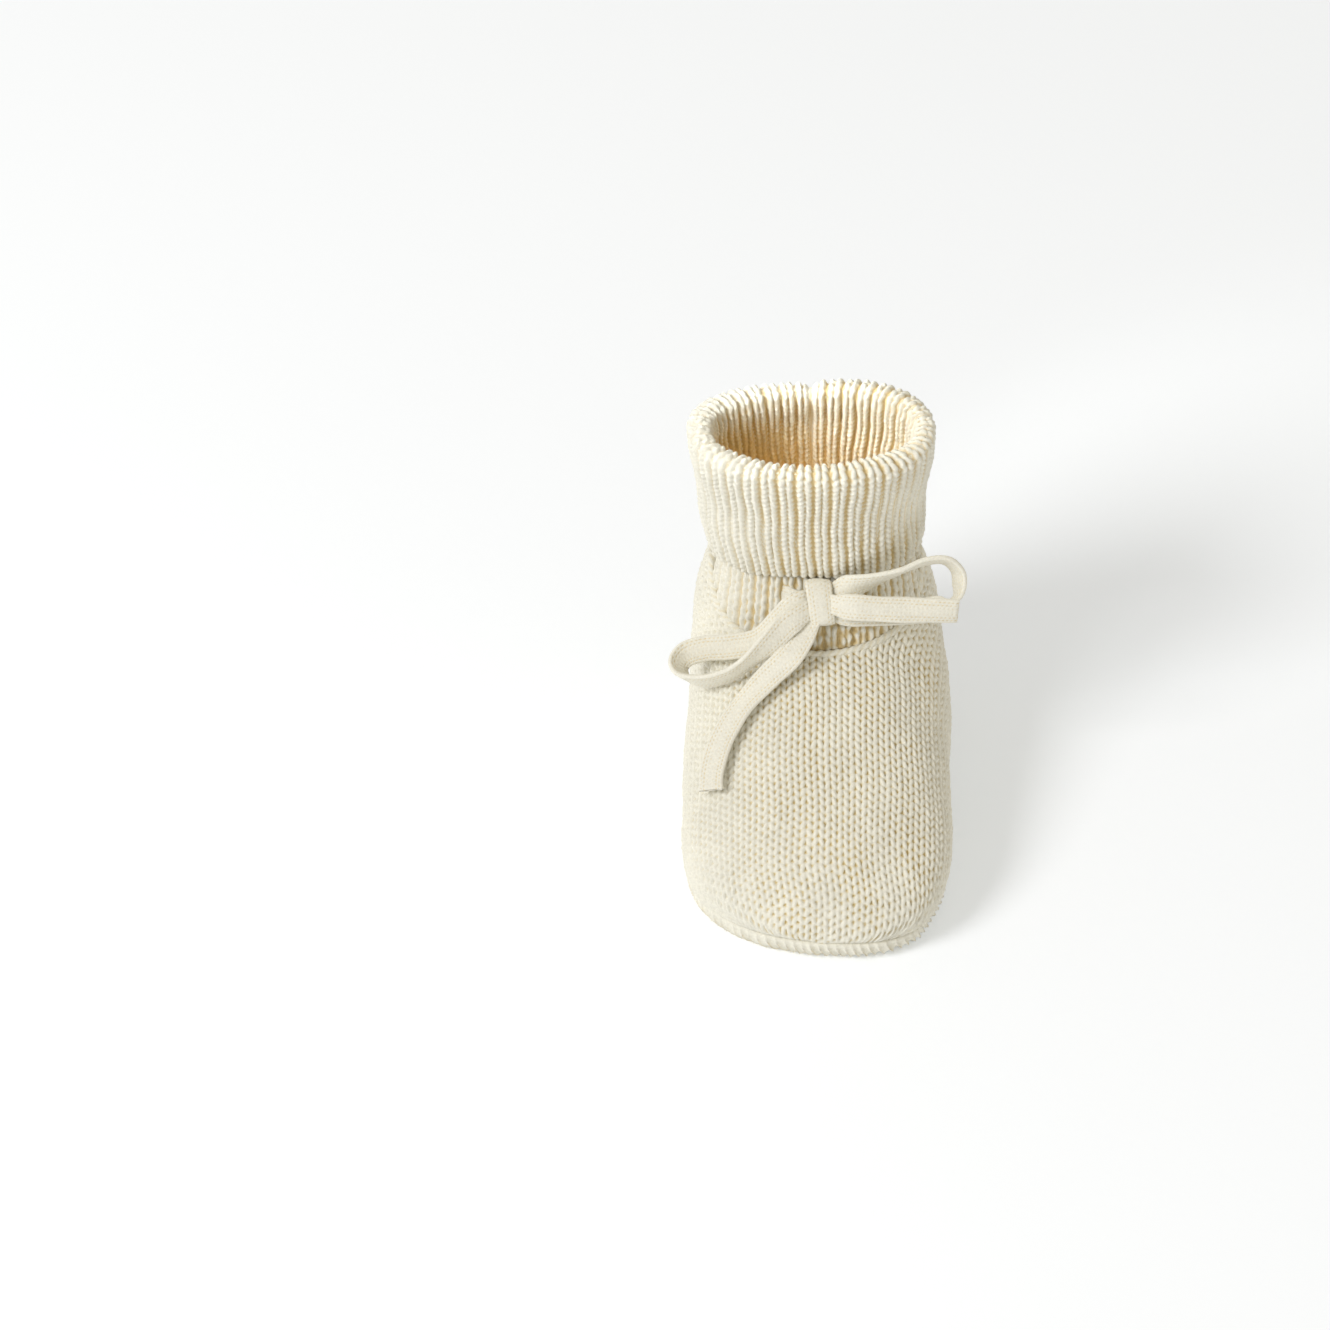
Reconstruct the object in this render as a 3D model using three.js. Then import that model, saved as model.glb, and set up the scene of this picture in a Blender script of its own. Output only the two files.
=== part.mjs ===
// A knitted baby bootie with a turned-down ribbed cuff and a tie round the ankle.
//
// Millimetres, +Z up, the toe towards -Y. The origin is on the ground under the middle of the foot.
// The fabric pieces are shells of knitted cloth. The seams are the yarns that join them.

import * as THREE from 'three';

// ---- Driving dimensions ----------------------------------------------------------------------

const SOLE_HALF_LENGTH = 51;        // half of the foot's length, toe to heel
const TOE_CENTRE_Y = -25;           // the toe rounds off in front of this line
const HEEL_CENTRE_Y = 25;           // the heel rounds off behind this line
const TOE_HALF_WIDTH = 30;
const HEEL_HALF_WIDTH = 27.8;
const OUTLINE_ROUNDNESS = 2.4;      // exponent of the superellipse of the toe and the heel
const TOE_ROUNDNESS = 2.6;          // the same of the toe's front, seen from the side
const TOE_SKEW = 0.1;               // the toe's end slants a little, as on a real foot

const SEAM_Z = 4.6;                 // height of the seam between the sole and the upper
const INSTEP_Y = 3;                 // where the instep meets the ankle rib, in front
const INSTEP_Z = 42;
const INSTEP_SLOPE = 0.46;          // rise of the vamp towards the ankle
const INSTEP_CURVE = 0.03;          // how fast the rise steepens behind the instep
const HEEL_TOP_DROP = 4.6;          // the top of the heel is this much lower than its sides' curve
const SECTION_ROUNDNESS = 2.3;      // exponent of the foot's cross-section
const WIDEST_SHARE = 0.35;          // the foot is widest at this share of its height
const TUCK_IN = 0.045;              // the side tucks in by this share at the sole seam

const ANKLE_CENTRE_Y = 25;          // the ankle seam, seen from above, is an ellipse round this point
const ANKLE_HALF_WIDTH = 23.5;
const ANKLE_FRONT = 22;
const ANKLE_BACK = 19;
const TUBE_ROUNDNESS = 2.3;         // exponent of the tube's superellipses, seen from above

const KNIT_THICKNESS = 2.1;         // knitted fabric of the foot
const RIB_THICKNESS = 2.0;          // ribbed fabric of the ankle and the cuff
const SEAM_GAP = 1.45;              // each fabric edge stops this far from the middle of its seam
const SEAM_YARN_RADIUS = 0.5;
const BACK_SLIT = 1.05;             // half of the gap in which a back seam lies

const CUFF_BOTTOM_Z = 57.5;
const CUFF_TOP_Z = 93;

const TAPE_WIDTH = 5.8;             // the knitted tape of the tie
const TAPE_THICKNESS = 1.6;
const BAND_THICKNESS = 1.2;         // the same tape, pressed flat inside the ankle

// How finely the curved pieces are divided.
const HEEL_STEPS = 8;
const SIDE_STEPS = 6;
const TOE_STEPS = 9;
const UPPER_ROWS = 7;
const ANKLE_STEPS = 24;

const YARN_COLOUR = 0xe8e2cd;
const TAPE_COLOUR = 0xece8d8;
const STITCH_COLOUR = 0xe0d8bf;

// ---- Small helpers ---------------------------------------------------------------------------

const clamp = (value, low, high) => Math.min(high, Math.max(low, value));

function mix(a, b, share) {
  return a + (b - a) * share;
}

function smooth(value) {
  const t = clamp(value, 0, 1);
  return t * t * (3 - 2 * t);
}

function vec(x, y, z) {
  return new THREE.Vector3(x, y, z);
}

// The rest of a superellipse: the height at distance x from the middle, for half-size 1.
function superRest(x, exponent) {
  return (1 - clamp(Math.abs(x), 0, 1) ** exponent) ** (1 / exponent);
}

// ---- Closed meshes from grids of points ------------------------------------------------------

// Collects triangles, merges equal corners and leaves out triangles without an area.
class Faces {
  constructor() {
    this.keys = new Map();
    this.positions = [];
    this.triangles = [];
  }

  corner(point) {
    const key = [point.x, point.y, point.z].map((v) => Math.round(v * 1e4)).join(',');
    if (!this.keys.has(key)) {
      this.keys.set(key, this.positions.length / 3);
      this.positions.push(point.x, point.y, point.z);
    }
    return this.keys.get(key);
  }

  triangle(a, b, c) {
    const corners = [this.corner(a), this.corner(b), this.corner(c)];
    if (new Set(corners).size === 3) this.triangles.push(...corners);
  }

  quad(a, b, c, d) {
    this.triangle(a, b, c);
    this.triangle(a, c, d);
  }

  geometry() {
    const geometry = new THREE.BufferGeometry();
    geometry.setAttribute('position', new THREE.Float32BufferAttribute(this.positions, 3));
    geometry.setIndex(this.triangles);
    geometry.computeVertexNormals();
    return geometry;
  }
}

// The points of a grid, moved inwards by a thickness. Inwards is against (along i) x (along j).
function insideOf(grid, thickness) {
  const lastI = grid.length - 1;
  return grid.map((line, i) => line.map((point, j) => {
    const lastJ = line.length - 1;
    const alongI = grid[Math.min(i + 1, lastI)][j].clone().sub(grid[Math.max(i - 1, 0)][j]);
    const alongJ = line[Math.min(j + 1, lastJ)].clone().sub(line[Math.max(j - 1, 0)]);
    const normal = alongI.cross(alongJ).normalize();
    return point.clone().addScaledVector(normal, -thickness);
  }));
}

// A closed shell between an outer and an inner grid of points. Cells named by isHole are left out.
function shell(outer, inner, isHole = () => false) {
  const faces = new Faces();
  const cellsI = outer.length - 1;
  const cellsJ = outer[0].length - 1;
  const isCloth = (i, j) => i >= 0 && j >= 0 && i < cellsI && j < cellsJ && !isHole(i, j);
  const wall = (a, b) => {
    faces.quad(outer[a[0]][a[1]], inner[a[0]][a[1]], inner[b[0]][b[1]], outer[b[0]][b[1]]);
  };
  for (let i = 0; i < cellsI; i += 1) {
    for (let j = 0; j < cellsJ; j += 1) {
      if (isHole(i, j)) continue;
      const corners = [[i, j], [i + 1, j], [i + 1, j + 1], [i, j + 1]];
      const [a, b, c, d] = corners.map(([m, n]) => outer[m][n]);
      faces.quad(a, b, c, d);
      const [e, f, g, h] = corners.map(([m, n]) => inner[m][n]);
      faces.quad(e, h, g, f);
      if (!isCloth(i, j - 1)) wall(corners[0], corners[1]);
      if (!isCloth(i + 1, j)) wall(corners[1], corners[2]);
      if (!isCloth(i, j + 1)) wall(corners[2], corners[3]);
      if (!isCloth(i - 1, j)) wall(corners[3], corners[0]);
    }
  }
  return faces.geometry();
}

// A yarn or a tape: a flat-sided section swept along a smooth curve through the points.
function sweep(points, width, thickness, steps, sides, widthAt = null) {
  const curve = new THREE.CatmullRomCurve3(points, false, 'centripetal');
  const frames = curve.computeFrenetFrames(steps, false);
  let turn = 0;
  if (widthAt) {
    turn = Math.atan2(widthAt.dot(frames.binormals[0]), widthAt.dot(frames.normals[0]));
  }
  const corners = [];
  for (let k = 0; k < sides; k += 1) {
    const angle = 2 * Math.PI * (k + 0.5) / sides;
    const x = Math.sign(Math.cos(angle)) * Math.abs(Math.cos(angle)) ** 0.8 * width / 2;
    const y = Math.sign(Math.sin(angle)) * Math.abs(Math.sin(angle)) ** 0.8 * thickness / 2;
    const corner = new THREE.Vector2(x, y);
    corners.push(corner.rotateAround(new THREE.Vector2(0, 0), turn));
  }
  return new THREE.ExtrudeGeometry(new THREE.Shape(corners), { steps, extrudePath: curve });
}

// ---- The shape of the foot -------------------------------------------------------------------

const NARROWEST = 1e-6;             // stands for the toe's very tip, where the foot has no width

// Half-width of the foot at its widest, for a section across the foot at y.
function halfWidth(y) {
  if (y < TOE_CENTRE_Y) {
    const toeLength = SOLE_HALF_LENGTH + TOE_CENTRE_Y;
    const rest = superRest((y - TOE_CENTRE_Y) / toeLength, OUTLINE_ROUNDNESS);
    return Math.max(NARROWEST, TOE_HALF_WIDTH * rest);
  }
  const share = (y - TOE_CENTRE_Y) / (HEEL_CENTRE_Y - TOE_CENTRE_Y);
  return mix(TOE_HALF_WIDTH, HEEL_HALF_WIDTH, smooth(share));
}

// Height of the middle line of the foot at y. Behind the instep the line goes on in the air.
function crownHeight(y) {
  const behind = y - INSTEP_Y;
  const ramp = INSTEP_Z + INSTEP_SLOPE * behind + INSTEP_CURVE * Math.max(0, behind) ** 2;
  if (y > TOE_CENTRE_Y) return ramp;
  const toeLength = SOLE_HALF_LENGTH + TOE_CENTRE_Y;
  const rest = superRest((y - TOE_CENTRE_Y) / toeLength, TOE_ROUNDNESS);
  return SEAM_Z + Math.max(NARROWEST, (ramp - SEAM_Z) * rest);
}

// A station is a section of the foot: across it at y, or, round the heel, along a ray at angle
// turn from +X about the heel's centre. reach is the half-width and crown the height there.
function frontStation(y) {
  return { y, angle: 0, reach: halfWidth(y), crown: crownHeight(y) };
}

function heelStation(angle) {
  const length = SOLE_HALF_LENGTH - HEEL_CENTRE_Y;
  const across = (Math.abs(Math.cos(angle)) / HEEL_HALF_WIDTH) ** OUTLINE_ROUNDNESS;
  const along = (Math.abs(Math.sin(angle)) / length) ** OUTLINE_ROUNDNESS;
  const reach = (across + along) ** (-1 / OUTLINE_ROUNDNESS);
  const drop = HEEL_TOP_DROP * smooth(angle / (Math.PI / 3));
  return { y: HEEL_CENTRE_Y, angle, reach, crown: crownHeight(HEEL_CENTRE_Y) - drop };
}

// How far the ankle seam is from the middle at a station. It is 0 in front of the instep.
function ankleReach(station) {
  const fromCentre = (ANKLE_CENTRE_Y - station.y) / ANKLE_FRONT;
  if (station.angle === 0) return ANKLE_HALF_WIDTH * superRest(fromCentre, 2);
  const across = (Math.abs(Math.cos(station.angle)) / ANKLE_HALF_WIDTH) ** TUBE_ROUNDNESS;
  const along = (Math.abs(Math.sin(station.angle)) / ANKLE_BACK) ** TUBE_ROUNDNESS;
  return (across + along) ** (-1 / TUBE_ROUNDNESS);
}

// Height of the foot's side at a distance from the middle, above its widest line.
function sideHeight(station, distance) {
  const widest = mix(SEAM_Z, station.crown, WIDEST_SHARE);
  return mix(widest, station.crown, superRest(distance / station.reach, SECTION_ROUNDNESS));
}

// A point of the foot from its station, its distance from the middle and its height.
function footPoint(station, distance, z, side) {
  const x = distance * Math.cos(station.angle);
  const y = station.y + distance * Math.sin(station.angle);
  const toeShare = clamp(-y / SOLE_HALF_LENGTH, 0, 1);
  return vec(side * x, y - TOE_SKEW * side * x * toeShare ** 2, z);
}

// The side of a station as a line of points, from the sole seam up to the crown or ankle seam.
const SIDE_POINTS = 40;

function sideLine(station) {
  const widest = mix(SEAM_Z, station.crown, WIDEST_SHARE);
  const end = ankleReach(station);
  const endAngle = Math.acos(clamp((end / station.reach) ** (SECTION_ROUNDNESS / 2), 0, 1));
  const line = [];
  for (let k = 0; k < SIDE_POINTS; k += 1) {
    const z = mix(SEAM_Z, widest, k / SIDE_POINTS);
    const tuck = TUCK_IN * ((widest - z) / (widest - SEAM_Z)) ** 2;
    line.push([station.reach * (1 - tuck), z]);
  }
  for (let k = 0; k <= SIDE_POINTS; k += 1) {
    const angle = endAngle * k / SIDE_POINTS;
    const distance = station.reach * Math.cos(angle) ** (2 / SECTION_ROUNDNESS);
    line.push([distance, sideHeight(station, distance)]);
  }
  return line;
}

function lineLength(line) {
  let length = 0;
  for (let k = 1; k < line.length; k += 1) {
    length += Math.hypot(line[k][0] - line[k - 1][0], line[k][1] - line[k - 1][1]);
  }
  return length;
}

// The point a given way up the side line, in millimetres.
function upLine(line, way) {
  let left = Math.max(0, way);
  for (let k = 1; k < line.length; k += 1) {
    const [fromX, fromZ] = line[k - 1];
    const [toX, toZ] = line[k];
    const step = Math.hypot(toX - fromX, toZ - fromZ);
    if (left <= step && step > 0) {
      return [mix(fromX, toX, left / step), mix(fromZ, toZ, left / step)];
    }
    left -= step;
  }
  return line[line.length - 1];
}

// The cloth of the foot is laid out flat: along is the way from the toe's tip over the vamp, then
// back along the side and round the heel, and across is the way from the middle of the vamp.
const TURN_RADIUS = 27;
const CROWN_STEPS = 400;

const crownWays = [0];
for (let k = 1; k <= CROWN_STEPS; k += 1) {
  const from = mix(-SOLE_HALF_LENGTH, INSTEP_Y, ((k - 1) / CROWN_STEPS) ** 2);
  const to = mix(-SOLE_HALF_LENGTH, INSTEP_Y, (k / CROWN_STEPS) ** 2);
  crownWays.push(crownWays[k - 1] + Math.hypot(to - from, crownHeight(to) - crownHeight(from)));
}
const INSTEP_WAY = crownWays[CROWN_STEPS];
const HEEL_WAY = INSTEP_WAY + HEEL_CENTRE_Y - INSTEP_Y;
const BACK_WAY = HEEL_WAY + TURN_RADIUS * Math.PI / 2;

function stationAt(along) {
  if (along >= HEEL_WAY) return heelStation((along - HEEL_WAY) / TURN_RADIUS);
  if (along >= INSTEP_WAY) return frontStation(INSTEP_Y + along - INSTEP_WAY);
  let k = 1;
  while (k < CROWN_STEPS && crownWays[k] < along) k += 1;
  const share = clamp((along - crownWays[k - 1]) / (crownWays[k] - crownWays[k - 1]), 0, 1);
  return frontStation(mix(-SOLE_HALF_LENGTH, INSTEP_Y, ((k - 1 + share) / CROWN_STEPS) ** 2));
}

const FULL_ACROSS = lineLength(sideLine(frontStation(INSTEP_Y)));

// How far across the cloth reaches at a place along it, where the sole seam cuts it.
function soleAcross(along) {
  if (along >= INSTEP_WAY) return FULL_ACROSS;
  return lineLength(sideLine(stationAt(along)));
}

function clothPoint(along, across, side) {
  const station = stationAt(along);
  const [distance, z] = upLine(sideLine(station), soleAcross(along) - across);
  return footPoint(station, distance, z, side);
}

// ---- The upper -------------------------------------------------------------------------------

// Places along the cloth of the sole seam's half, from the back seam round to the toe's tip.
function soleSeamWays() {
  const ways = [];
  const slit = BACK_SLIT / TURN_RADIUS;
  for (let k = 0; k < HEEL_STEPS; k += 1) {
    ways.push(HEEL_WAY + TURN_RADIUS * mix(Math.PI / 2 - slit, 0, k / HEEL_STEPS));
  }
  for (let k = 0; k < SIDE_STEPS; k += 1) {
    ways.push(mix(HEEL_WAY, INSTEP_WAY, k / SIDE_STEPS));
  }
  const toeWay = wayAtY(TOE_CENTRE_Y);
  for (let k = 0; k < SIDE_STEPS; k += 1) {
    ways.push(mix(INSTEP_WAY, toeWay, k / SIDE_STEPS));
  }
  for (let k = 0; k <= TOE_STEPS; k += 1) {
    const rounding = Math.sin(Math.PI / 2 * k / TOE_STEPS) ** (2 / OUTLINE_ROUNDNESS);
    ways.push(wayAtY(TOE_CENTRE_Y - (SOLE_HALF_LENGTH + TOE_CENTRE_Y) * rounding));
  }
  return ways;
}

function wayAtY(y) {
  const share = Math.sqrt(clamp((y + SOLE_HALF_LENGTH) / (INSTEP_Y + SOLE_HALF_LENGTH), 0, 1));
  const k = Math.min(CROWN_STEPS - 1, Math.floor(share * CROWN_STEPS));
  return mix(crownWays[k], crownWays[k + 1], share * CROWN_STEPS - k);
}

// The place of the ankle seam that the cloth reaches from a place of the sole seam.
const SPREAD = 20;

function ankleWay(soleWay) {
  const spreadEnd = INSTEP_WAY + SPREAD;
  if (soleWay >= spreadEnd) return soleWay;
  return INSTEP_WAY + SPREAD * (soleWay / spreadEnd) ** 3;
}

function upperLine(soleWay, side) {
  const topWay = ankleWay(soleWay);
  const topAcross = FULL_ACROSS - lineLength(sideLine(stationAt(topWay)));
  const bottomAcross = soleAcross(soleWay);
  const length = Math.hypot(topWay - soleWay, bottomAcross - topAcross);
  const points = [];
  for (let j = 0; j <= UPPER_ROWS; j += 1) {
    const share = mix(SEAM_GAP / length, 1 - SEAM_GAP / length, j / UPPER_ROWS);
    const along = mix(soleWay, topWay, share);
    points.push(clothPoint(along, mix(bottomAcross, topAcross, share), side));
  }
  return points;
}

// From the back seam round one side to the toe's tip and back round the other side.
function bothSides(makeOne) {
  const ways = soleSeamWays();
  const right = ways.map((way) => makeOne(way, 1));
  const left = ways.slice(0, -1).map((way) => makeOne(way, -1));
  return [...left, ...right.reverse()];
}

function footUpper() {
  const outer = bothSides(upperLine);
  return shell(outer, insideOf(outer, KNIT_THICKNESS));
}

// ---- The sole --------------------------------------------------------------------------------

const SOLE_EDGE_RADIUS = 3.6;
const SOLE_EDGE_STEPS = 4;

// The sole's outline on the ground, closed, from the back round the left side to the toe and back.
function soleOutline() {
  const edge = (way, side) => {
    const station = stationAt(Math.min(way, BACK_WAY));
    return footPoint(station, station.reach * (1 - TUCK_IN), 0, side);
  };
  const ways = [BACK_WAY, ...soleSeamWays()];
  const right = ways.map((way) => edge(way, 1));
  const left = ways.slice(0, -1).map((way) => edge(way, -1));
  return [...left, ...right.reverse()];
}

// The outline moved inwards on the level, and lifted to a height.
function insetOutline(outline, inset, z) {
  const count = outline.length - 1;
  return outline.map((point, i) => {
    const before = outline[(i - 1 + count) % count];
    const after = outline[(i + 1) % count];
    const along = after.clone().sub(before).normalize();
    return vec(point.x - along.y * inset, point.y + along.x * inset, z);
  });
}

function solePanel() {
  const outline = soleOutline();
  const centre = outline.map(() => vec(0, 0, 0));
  const rings = [centre];
  for (let k = 0; k <= SOLE_EDGE_STEPS; k += 1) {
    const angle = Math.PI / 2 * k / SOLE_EDGE_STEPS;
    const inset = SOLE_EDGE_RADIUS * (1 - Math.sin(angle));
    rings.push(insetOutline(outline, inset, SOLE_EDGE_RADIUS * (1 - Math.cos(angle))));
  }
  const innerRadius = SOLE_EDGE_RADIUS - KNIT_THICKNESS;
  for (let k = SOLE_EDGE_STEPS; k >= 0; k -= 1) {
    const angle = Math.PI / 2 * k / SOLE_EDGE_STEPS;
    const inset = SOLE_EDGE_RADIUS - innerRadius * Math.sin(angle);
    rings.push(insetOutline(outline, inset, SOLE_EDGE_RADIUS - innerRadius * Math.cos(angle)));
  }
  rings.push(centre.map(() => vec(0, 0, KNIT_THICKNESS)));
  const faces = new Faces();
  for (let k = 1; k < rings.length; k += 1) {
    for (let i = 1; i < outline.length; i += 1) {
      faces.quad(rings[k - 1][i - 1], rings[k - 1][i], rings[k][i], rings[k][i - 1]);
    }
  }
  return faces.geometry();
}

// ---- The ribbed tube: the ankle rib inside, and the cuff turned down outside -----------------

// A level of the tube, seen from above: a superellipse with its centre at y.
const RIB_LEVELS = [
  { z: CUFF_BOTTOM_Z, y: 29.25, halfWidth: 21.3, halfDepth: 14.1 },
  { z: 66, y: 27.7, halfWidth: 22.1, halfDepth: 13.9 },
  { z: 75, y: 26.1, halfWidth: 23.1, halfDepth: 13.6 },
  { z: 83, y: 24.6, halfWidth: 24.1, halfDepth: 13.3 },
  { z: 89.3, y: 23.2, halfWidth: 24.9, halfDepth: 13.05 },
];
const CUFF_LEVELS = [
  { z: CUFF_BOTTOM_Z, y: 29.25, halfWidth: 23.7, halfDepth: 16.5 },
  { z: 66, y: 27.7, halfWidth: 24.6, halfDepth: 16.4 },
  { z: 75, y: 26.1, halfWidth: 25.7, halfDepth: 16.15 },
  { z: 83, y: 24.6, halfWidth: 26.8, halfDepth: 15.9 },
  { z: 90.7, y: 23, halfWidth: 27.7, halfDepth: 15.65 },
];
const FOLD_RADIUS = 2.3;
const FOLD_STEPS = 5;
const FOLD = { z: CUFF_TOP_Z - FOLD_RADIUS, y: 23, halfWidth: 25.4, halfDepth: 13.35 };

// Rows of the ankle rib between the ankle seam and the cuff. The eyelets take the second row.
const ANKLE_ROWS = [0.43, 0.77];
const EYELET_ROW = 1;
const EYELET_CELLS = [1, 2];

function levelPoint(level, turn, side) {
  const across = Math.abs(Math.sin(turn)) ** (2 / TUBE_ROUNDNESS);
  const along = Math.sign(Math.cos(turn)) * Math.abs(Math.cos(turn)) ** (2 / TUBE_ROUNDNESS);
  return vec(side * level.halfWidth * across, level.y - level.halfDepth * along, level.z);
}

// The ankle seam's point at a turn round the ankle: 0 in front and half a turn at the back.
function ankleSeamWay(turn) {
  const across = Math.abs(Math.sin(turn)) ** (2 / TUBE_ROUNDNESS);
  if (turn <= Math.PI / 2) return INSTEP_WAY + ANKLE_FRONT * (1 - superRest(across, 2));
  const along = Math.abs(Math.cos(turn)) ** (2 / TUBE_ROUNDNESS);
  return HEEL_WAY + TURN_RADIUS * Math.atan2(ANKLE_BACK * along, ANKLE_HALF_WIDTH * across);
}

function ankleSeamAcross(way) {
  return FULL_ACROSS - lineLength(sideLine(stationAt(way)));
}

function ankleSeamPoint(turn, side) {
  const way = ankleSeamWay(turn);
  return clothPoint(way, ankleSeamAcross(way), side);
}

// Turns from the back slit to the front, for one side.
function ankleTurns() {
  const turns = [Math.PI - Math.asin(BACK_SLIT / ANKLE_HALF_WIDTH)];
  for (let k = 1; k <= ANKLE_STEPS; k += 1) turns.push(Math.PI * (1 - k / ANKLE_STEPS));
  return turns;
}

function aroundAnkle(makeOne) {
  const right = ankleTurns().map((turn) => makeOne(turn, 1));
  const left = ankleTurns().slice(0, -1).map((turn) => makeOne(turn, -1));
  return [...left, ...right.reverse()];
}

// A point of the rib's lower part: share 0 is at the ankle seam and 1 under the cuff's edge.
function lowerRibPoint(turn, side, share) {
  return ankleSeamPoint(turn, side).lerp(levelPoint(RIB_LEVELS[0], turn, side), share);
}

function ribLine(turn, side) {
  const bottom = ankleSeamPoint(turn, side);
  const gapShare = SEAM_GAP / bottom.distanceTo(levelPoint(RIB_LEVELS[0], turn, side));
  const lower = [gapShare, ...ANKLE_ROWS].map((share) => lowerRibPoint(turn, side, share));
  return [...lower, ...RIB_LEVELS.map((level) => levelPoint(level, turn, side))];
}

function ankleRib() {
  const outer = aroundAnkle(ribLine);
  const middle = ANKLE_STEPS;
  const isEyelet = (i, j) => {
    const cell = i < middle ? middle - 1 - i : i - middle;
    return j === EYELET_ROW && EYELET_CELLS.includes(cell);
  };
  return shell(outer, insideOf(outer, RIB_THICKNESS), isEyelet);
}

function foldPoint(turn, side, angle, radius) {
  const level = {
    z: FOLD.z + radius * Math.sin(angle),
    y: FOLD.y,
    halfWidth: FOLD.halfWidth + radius * Math.cos(angle),
    halfDepth: FOLD.halfDepth + radius * Math.cos(angle),
  };
  return levelPoint(level, turn, side);
}

function cuffLine(turn, side) {
  const line = CUFF_LEVELS.map((level) => levelPoint(level, turn, side));
  for (let k = 1; k <= FOLD_STEPS; k += 1) {
    line.push(foldPoint(turn, side, Math.PI * k / FOLD_STEPS, FOLD_RADIUS));
  }
  return line;
}

function turnedCuff() {
  const outer = aroundAnkle(cuffLine);
  return shell(outer, insideOf(outer, RIB_THICKNESS));
}

// ---- The seams: yarns in the gaps between the fabric pieces ------------------------------------

function yarn(points, steps) {
  return sweep(points, 2 * SEAM_YARN_RADIUS, 2 * SEAM_YARN_RADIUS, steps, 6);
}

// A stitch's gap is left between the two ends of the yarn at the back.
function soleSeam() {
  const ring = insetOutline(soleOutline(), KNIT_THICKNESS / 2, SEAM_Z);
  return yarn(ring.slice(1, -1), 72);
}

const SMALL_TURN = 0.02;

// The middle of the cloth's thickness under a point of the upper.
function clothMiddle(way, across, side) {
  const step = 0.5;
  const alongCloth = clothPoint(way + step, across, side).sub(clothPoint(way - step, across, side));
  const point = clothPoint(way, across, side);
  const acrossCloth = clothPoint(way, across + step, side).sub(point);
  const inwards = alongCloth.cross(acrossCloth).normalize().multiplyScalar(side);
  return point.addScaledVector(inwards, -KNIT_THICKNESS / 2);
}

function ankleSeam() {
  const outer = aroundAnkle(ribLine);
  const inner = insideOf(outer, RIB_THICKNESS);
  const underRib = outer.map((line, i) => {
    const rise = line[1].clone().sub(line[0]).normalize();
    return line[0].clone().lerp(inner[i][0], 0.5).addScaledVector(rise, -SEAM_GAP);
  });
  const atUpper = aroundAnkle((turn, side) => {
    const way = ankleSeamWay(Math.max(turn, SMALL_TURN));
    return clothMiddle(way, ankleSeamAcross(way), side);
  });
  return yarn(underRib.map((point, i) => point.lerp(atUpper[i], 0.5)), 56);
}

function heelSeam() {
  const top = ankleSeamAcross(BACK_WAY);
  const points = [];
  for (let k = 0; k <= 8; k += 1) {
    const across = mix(FULL_ACROSS - 1.6, top + 1.6, k / 8);
    points.push(clothPoint(BACK_WAY, across, 1).add(vec(0, -KNIT_THICKNESS / 2, 0)));
  }
  return yarn(points, 16);
}

// Up the back of the rib, over the fold and down the back of the cuff, in the middle of the cloth.
function cuffSeam() {
  const halfCloth = RIB_THICKNESS / 2;
  const inCloth = (level) => vec(0, level.y + level.halfDepth - halfCloth, level.z);
  const points = [lowerRibPoint(Math.PI, 1, 0.5).add(vec(0, -halfCloth, 0))];
  points.push(...RIB_LEVELS.map(inCloth));
  for (let k = 1; k < 4; k += 1) {
    points.push(foldPoint(Math.PI, 1, Math.PI * (1 - k / 4), FOLD_RADIUS - halfCloth));
  }
  points.push(...CUFF_LEVELS.map(inCloth).reverse());
  return yarn(points, 40);
}

// ---- The tie: a flat knitted tape through the eyelets, tied in a bow ---------------------------

const TIE_SHARE = 0.6;                      // the tape's middle, on the way from seam to cuff
const KNOT_WIDTH = 5.8;
const KNOT_ASIDE = 0.7;                     // the knot sits a little to the right
const KNOT_HEIGHT = 9.6;
const KNOT_DEPTH = 4.4;
const KNOT_GAP = 0.4;                       // between the knot and the rib behind it
const BAND_INSIDE = RIB_THICKNESS + 0.4 + BAND_THICKNESS;
const BAND_OUTSIDE = 1.1;                   // how far the band's face stands in front of the rib
const BAND_START_TURN = 0.175;              // just beside the knot
const BAND_INSIDE_TURN = 0.41;              // from here on the band runs inside the ankle

// How deep the band's outer face lies behind the rib's outer face, at a turn from the front.
function bandDepth(turn) {
  const share = (turn - BAND_START_TURN) / (BAND_INSIDE_TURN - BAND_START_TURN);
  return mix(-BAND_OUTSIDE, BAND_INSIDE - BAND_THICKNESS, clamp(share, 0, 1));
}

function bandTurns() {
  const turns = [];
  for (let k = 0; k <= 4; k += 1) turns.push(mix(BAND_START_TURN, BAND_INSIDE_TURN, k / 4));
  for (let k = 1; k <= 18; k += 1) turns.push(mix(BAND_INSIDE_TURN, Math.PI, k / 18));
  return turns;
}

function bandLine(turn, side) {
  const middle = lowerRibPoint(turn, side, TIE_SHARE);
  const up = lowerRibPoint(turn, side, 1).sub(ankleSeamPoint(turn, side)).normalize();
  const beside = lowerRibPoint(turn + 0.02, side, TIE_SHARE);
  const out = beside.sub(lowerRibPoint(turn - 0.02, side, TIE_SHARE)).cross(up).normalize();
  middle.addScaledVector(out, -side * bandDepth(turn));
  return [-0.5, 0, 0.5].map((k) => middle.clone().addScaledVector(up, k * TAPE_WIDTH));
}

function tieBand() {
  const right = bandTurns().map((turn) => bandLine(turn, 1));
  const left = bandTurns().slice(0, -1).map((turn) => bandLine(turn, -1));
  const outer = [...right, ...left.reverse()];
  return shell(outer, insideOf(outer, BAND_THICKNESS));
}

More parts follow.
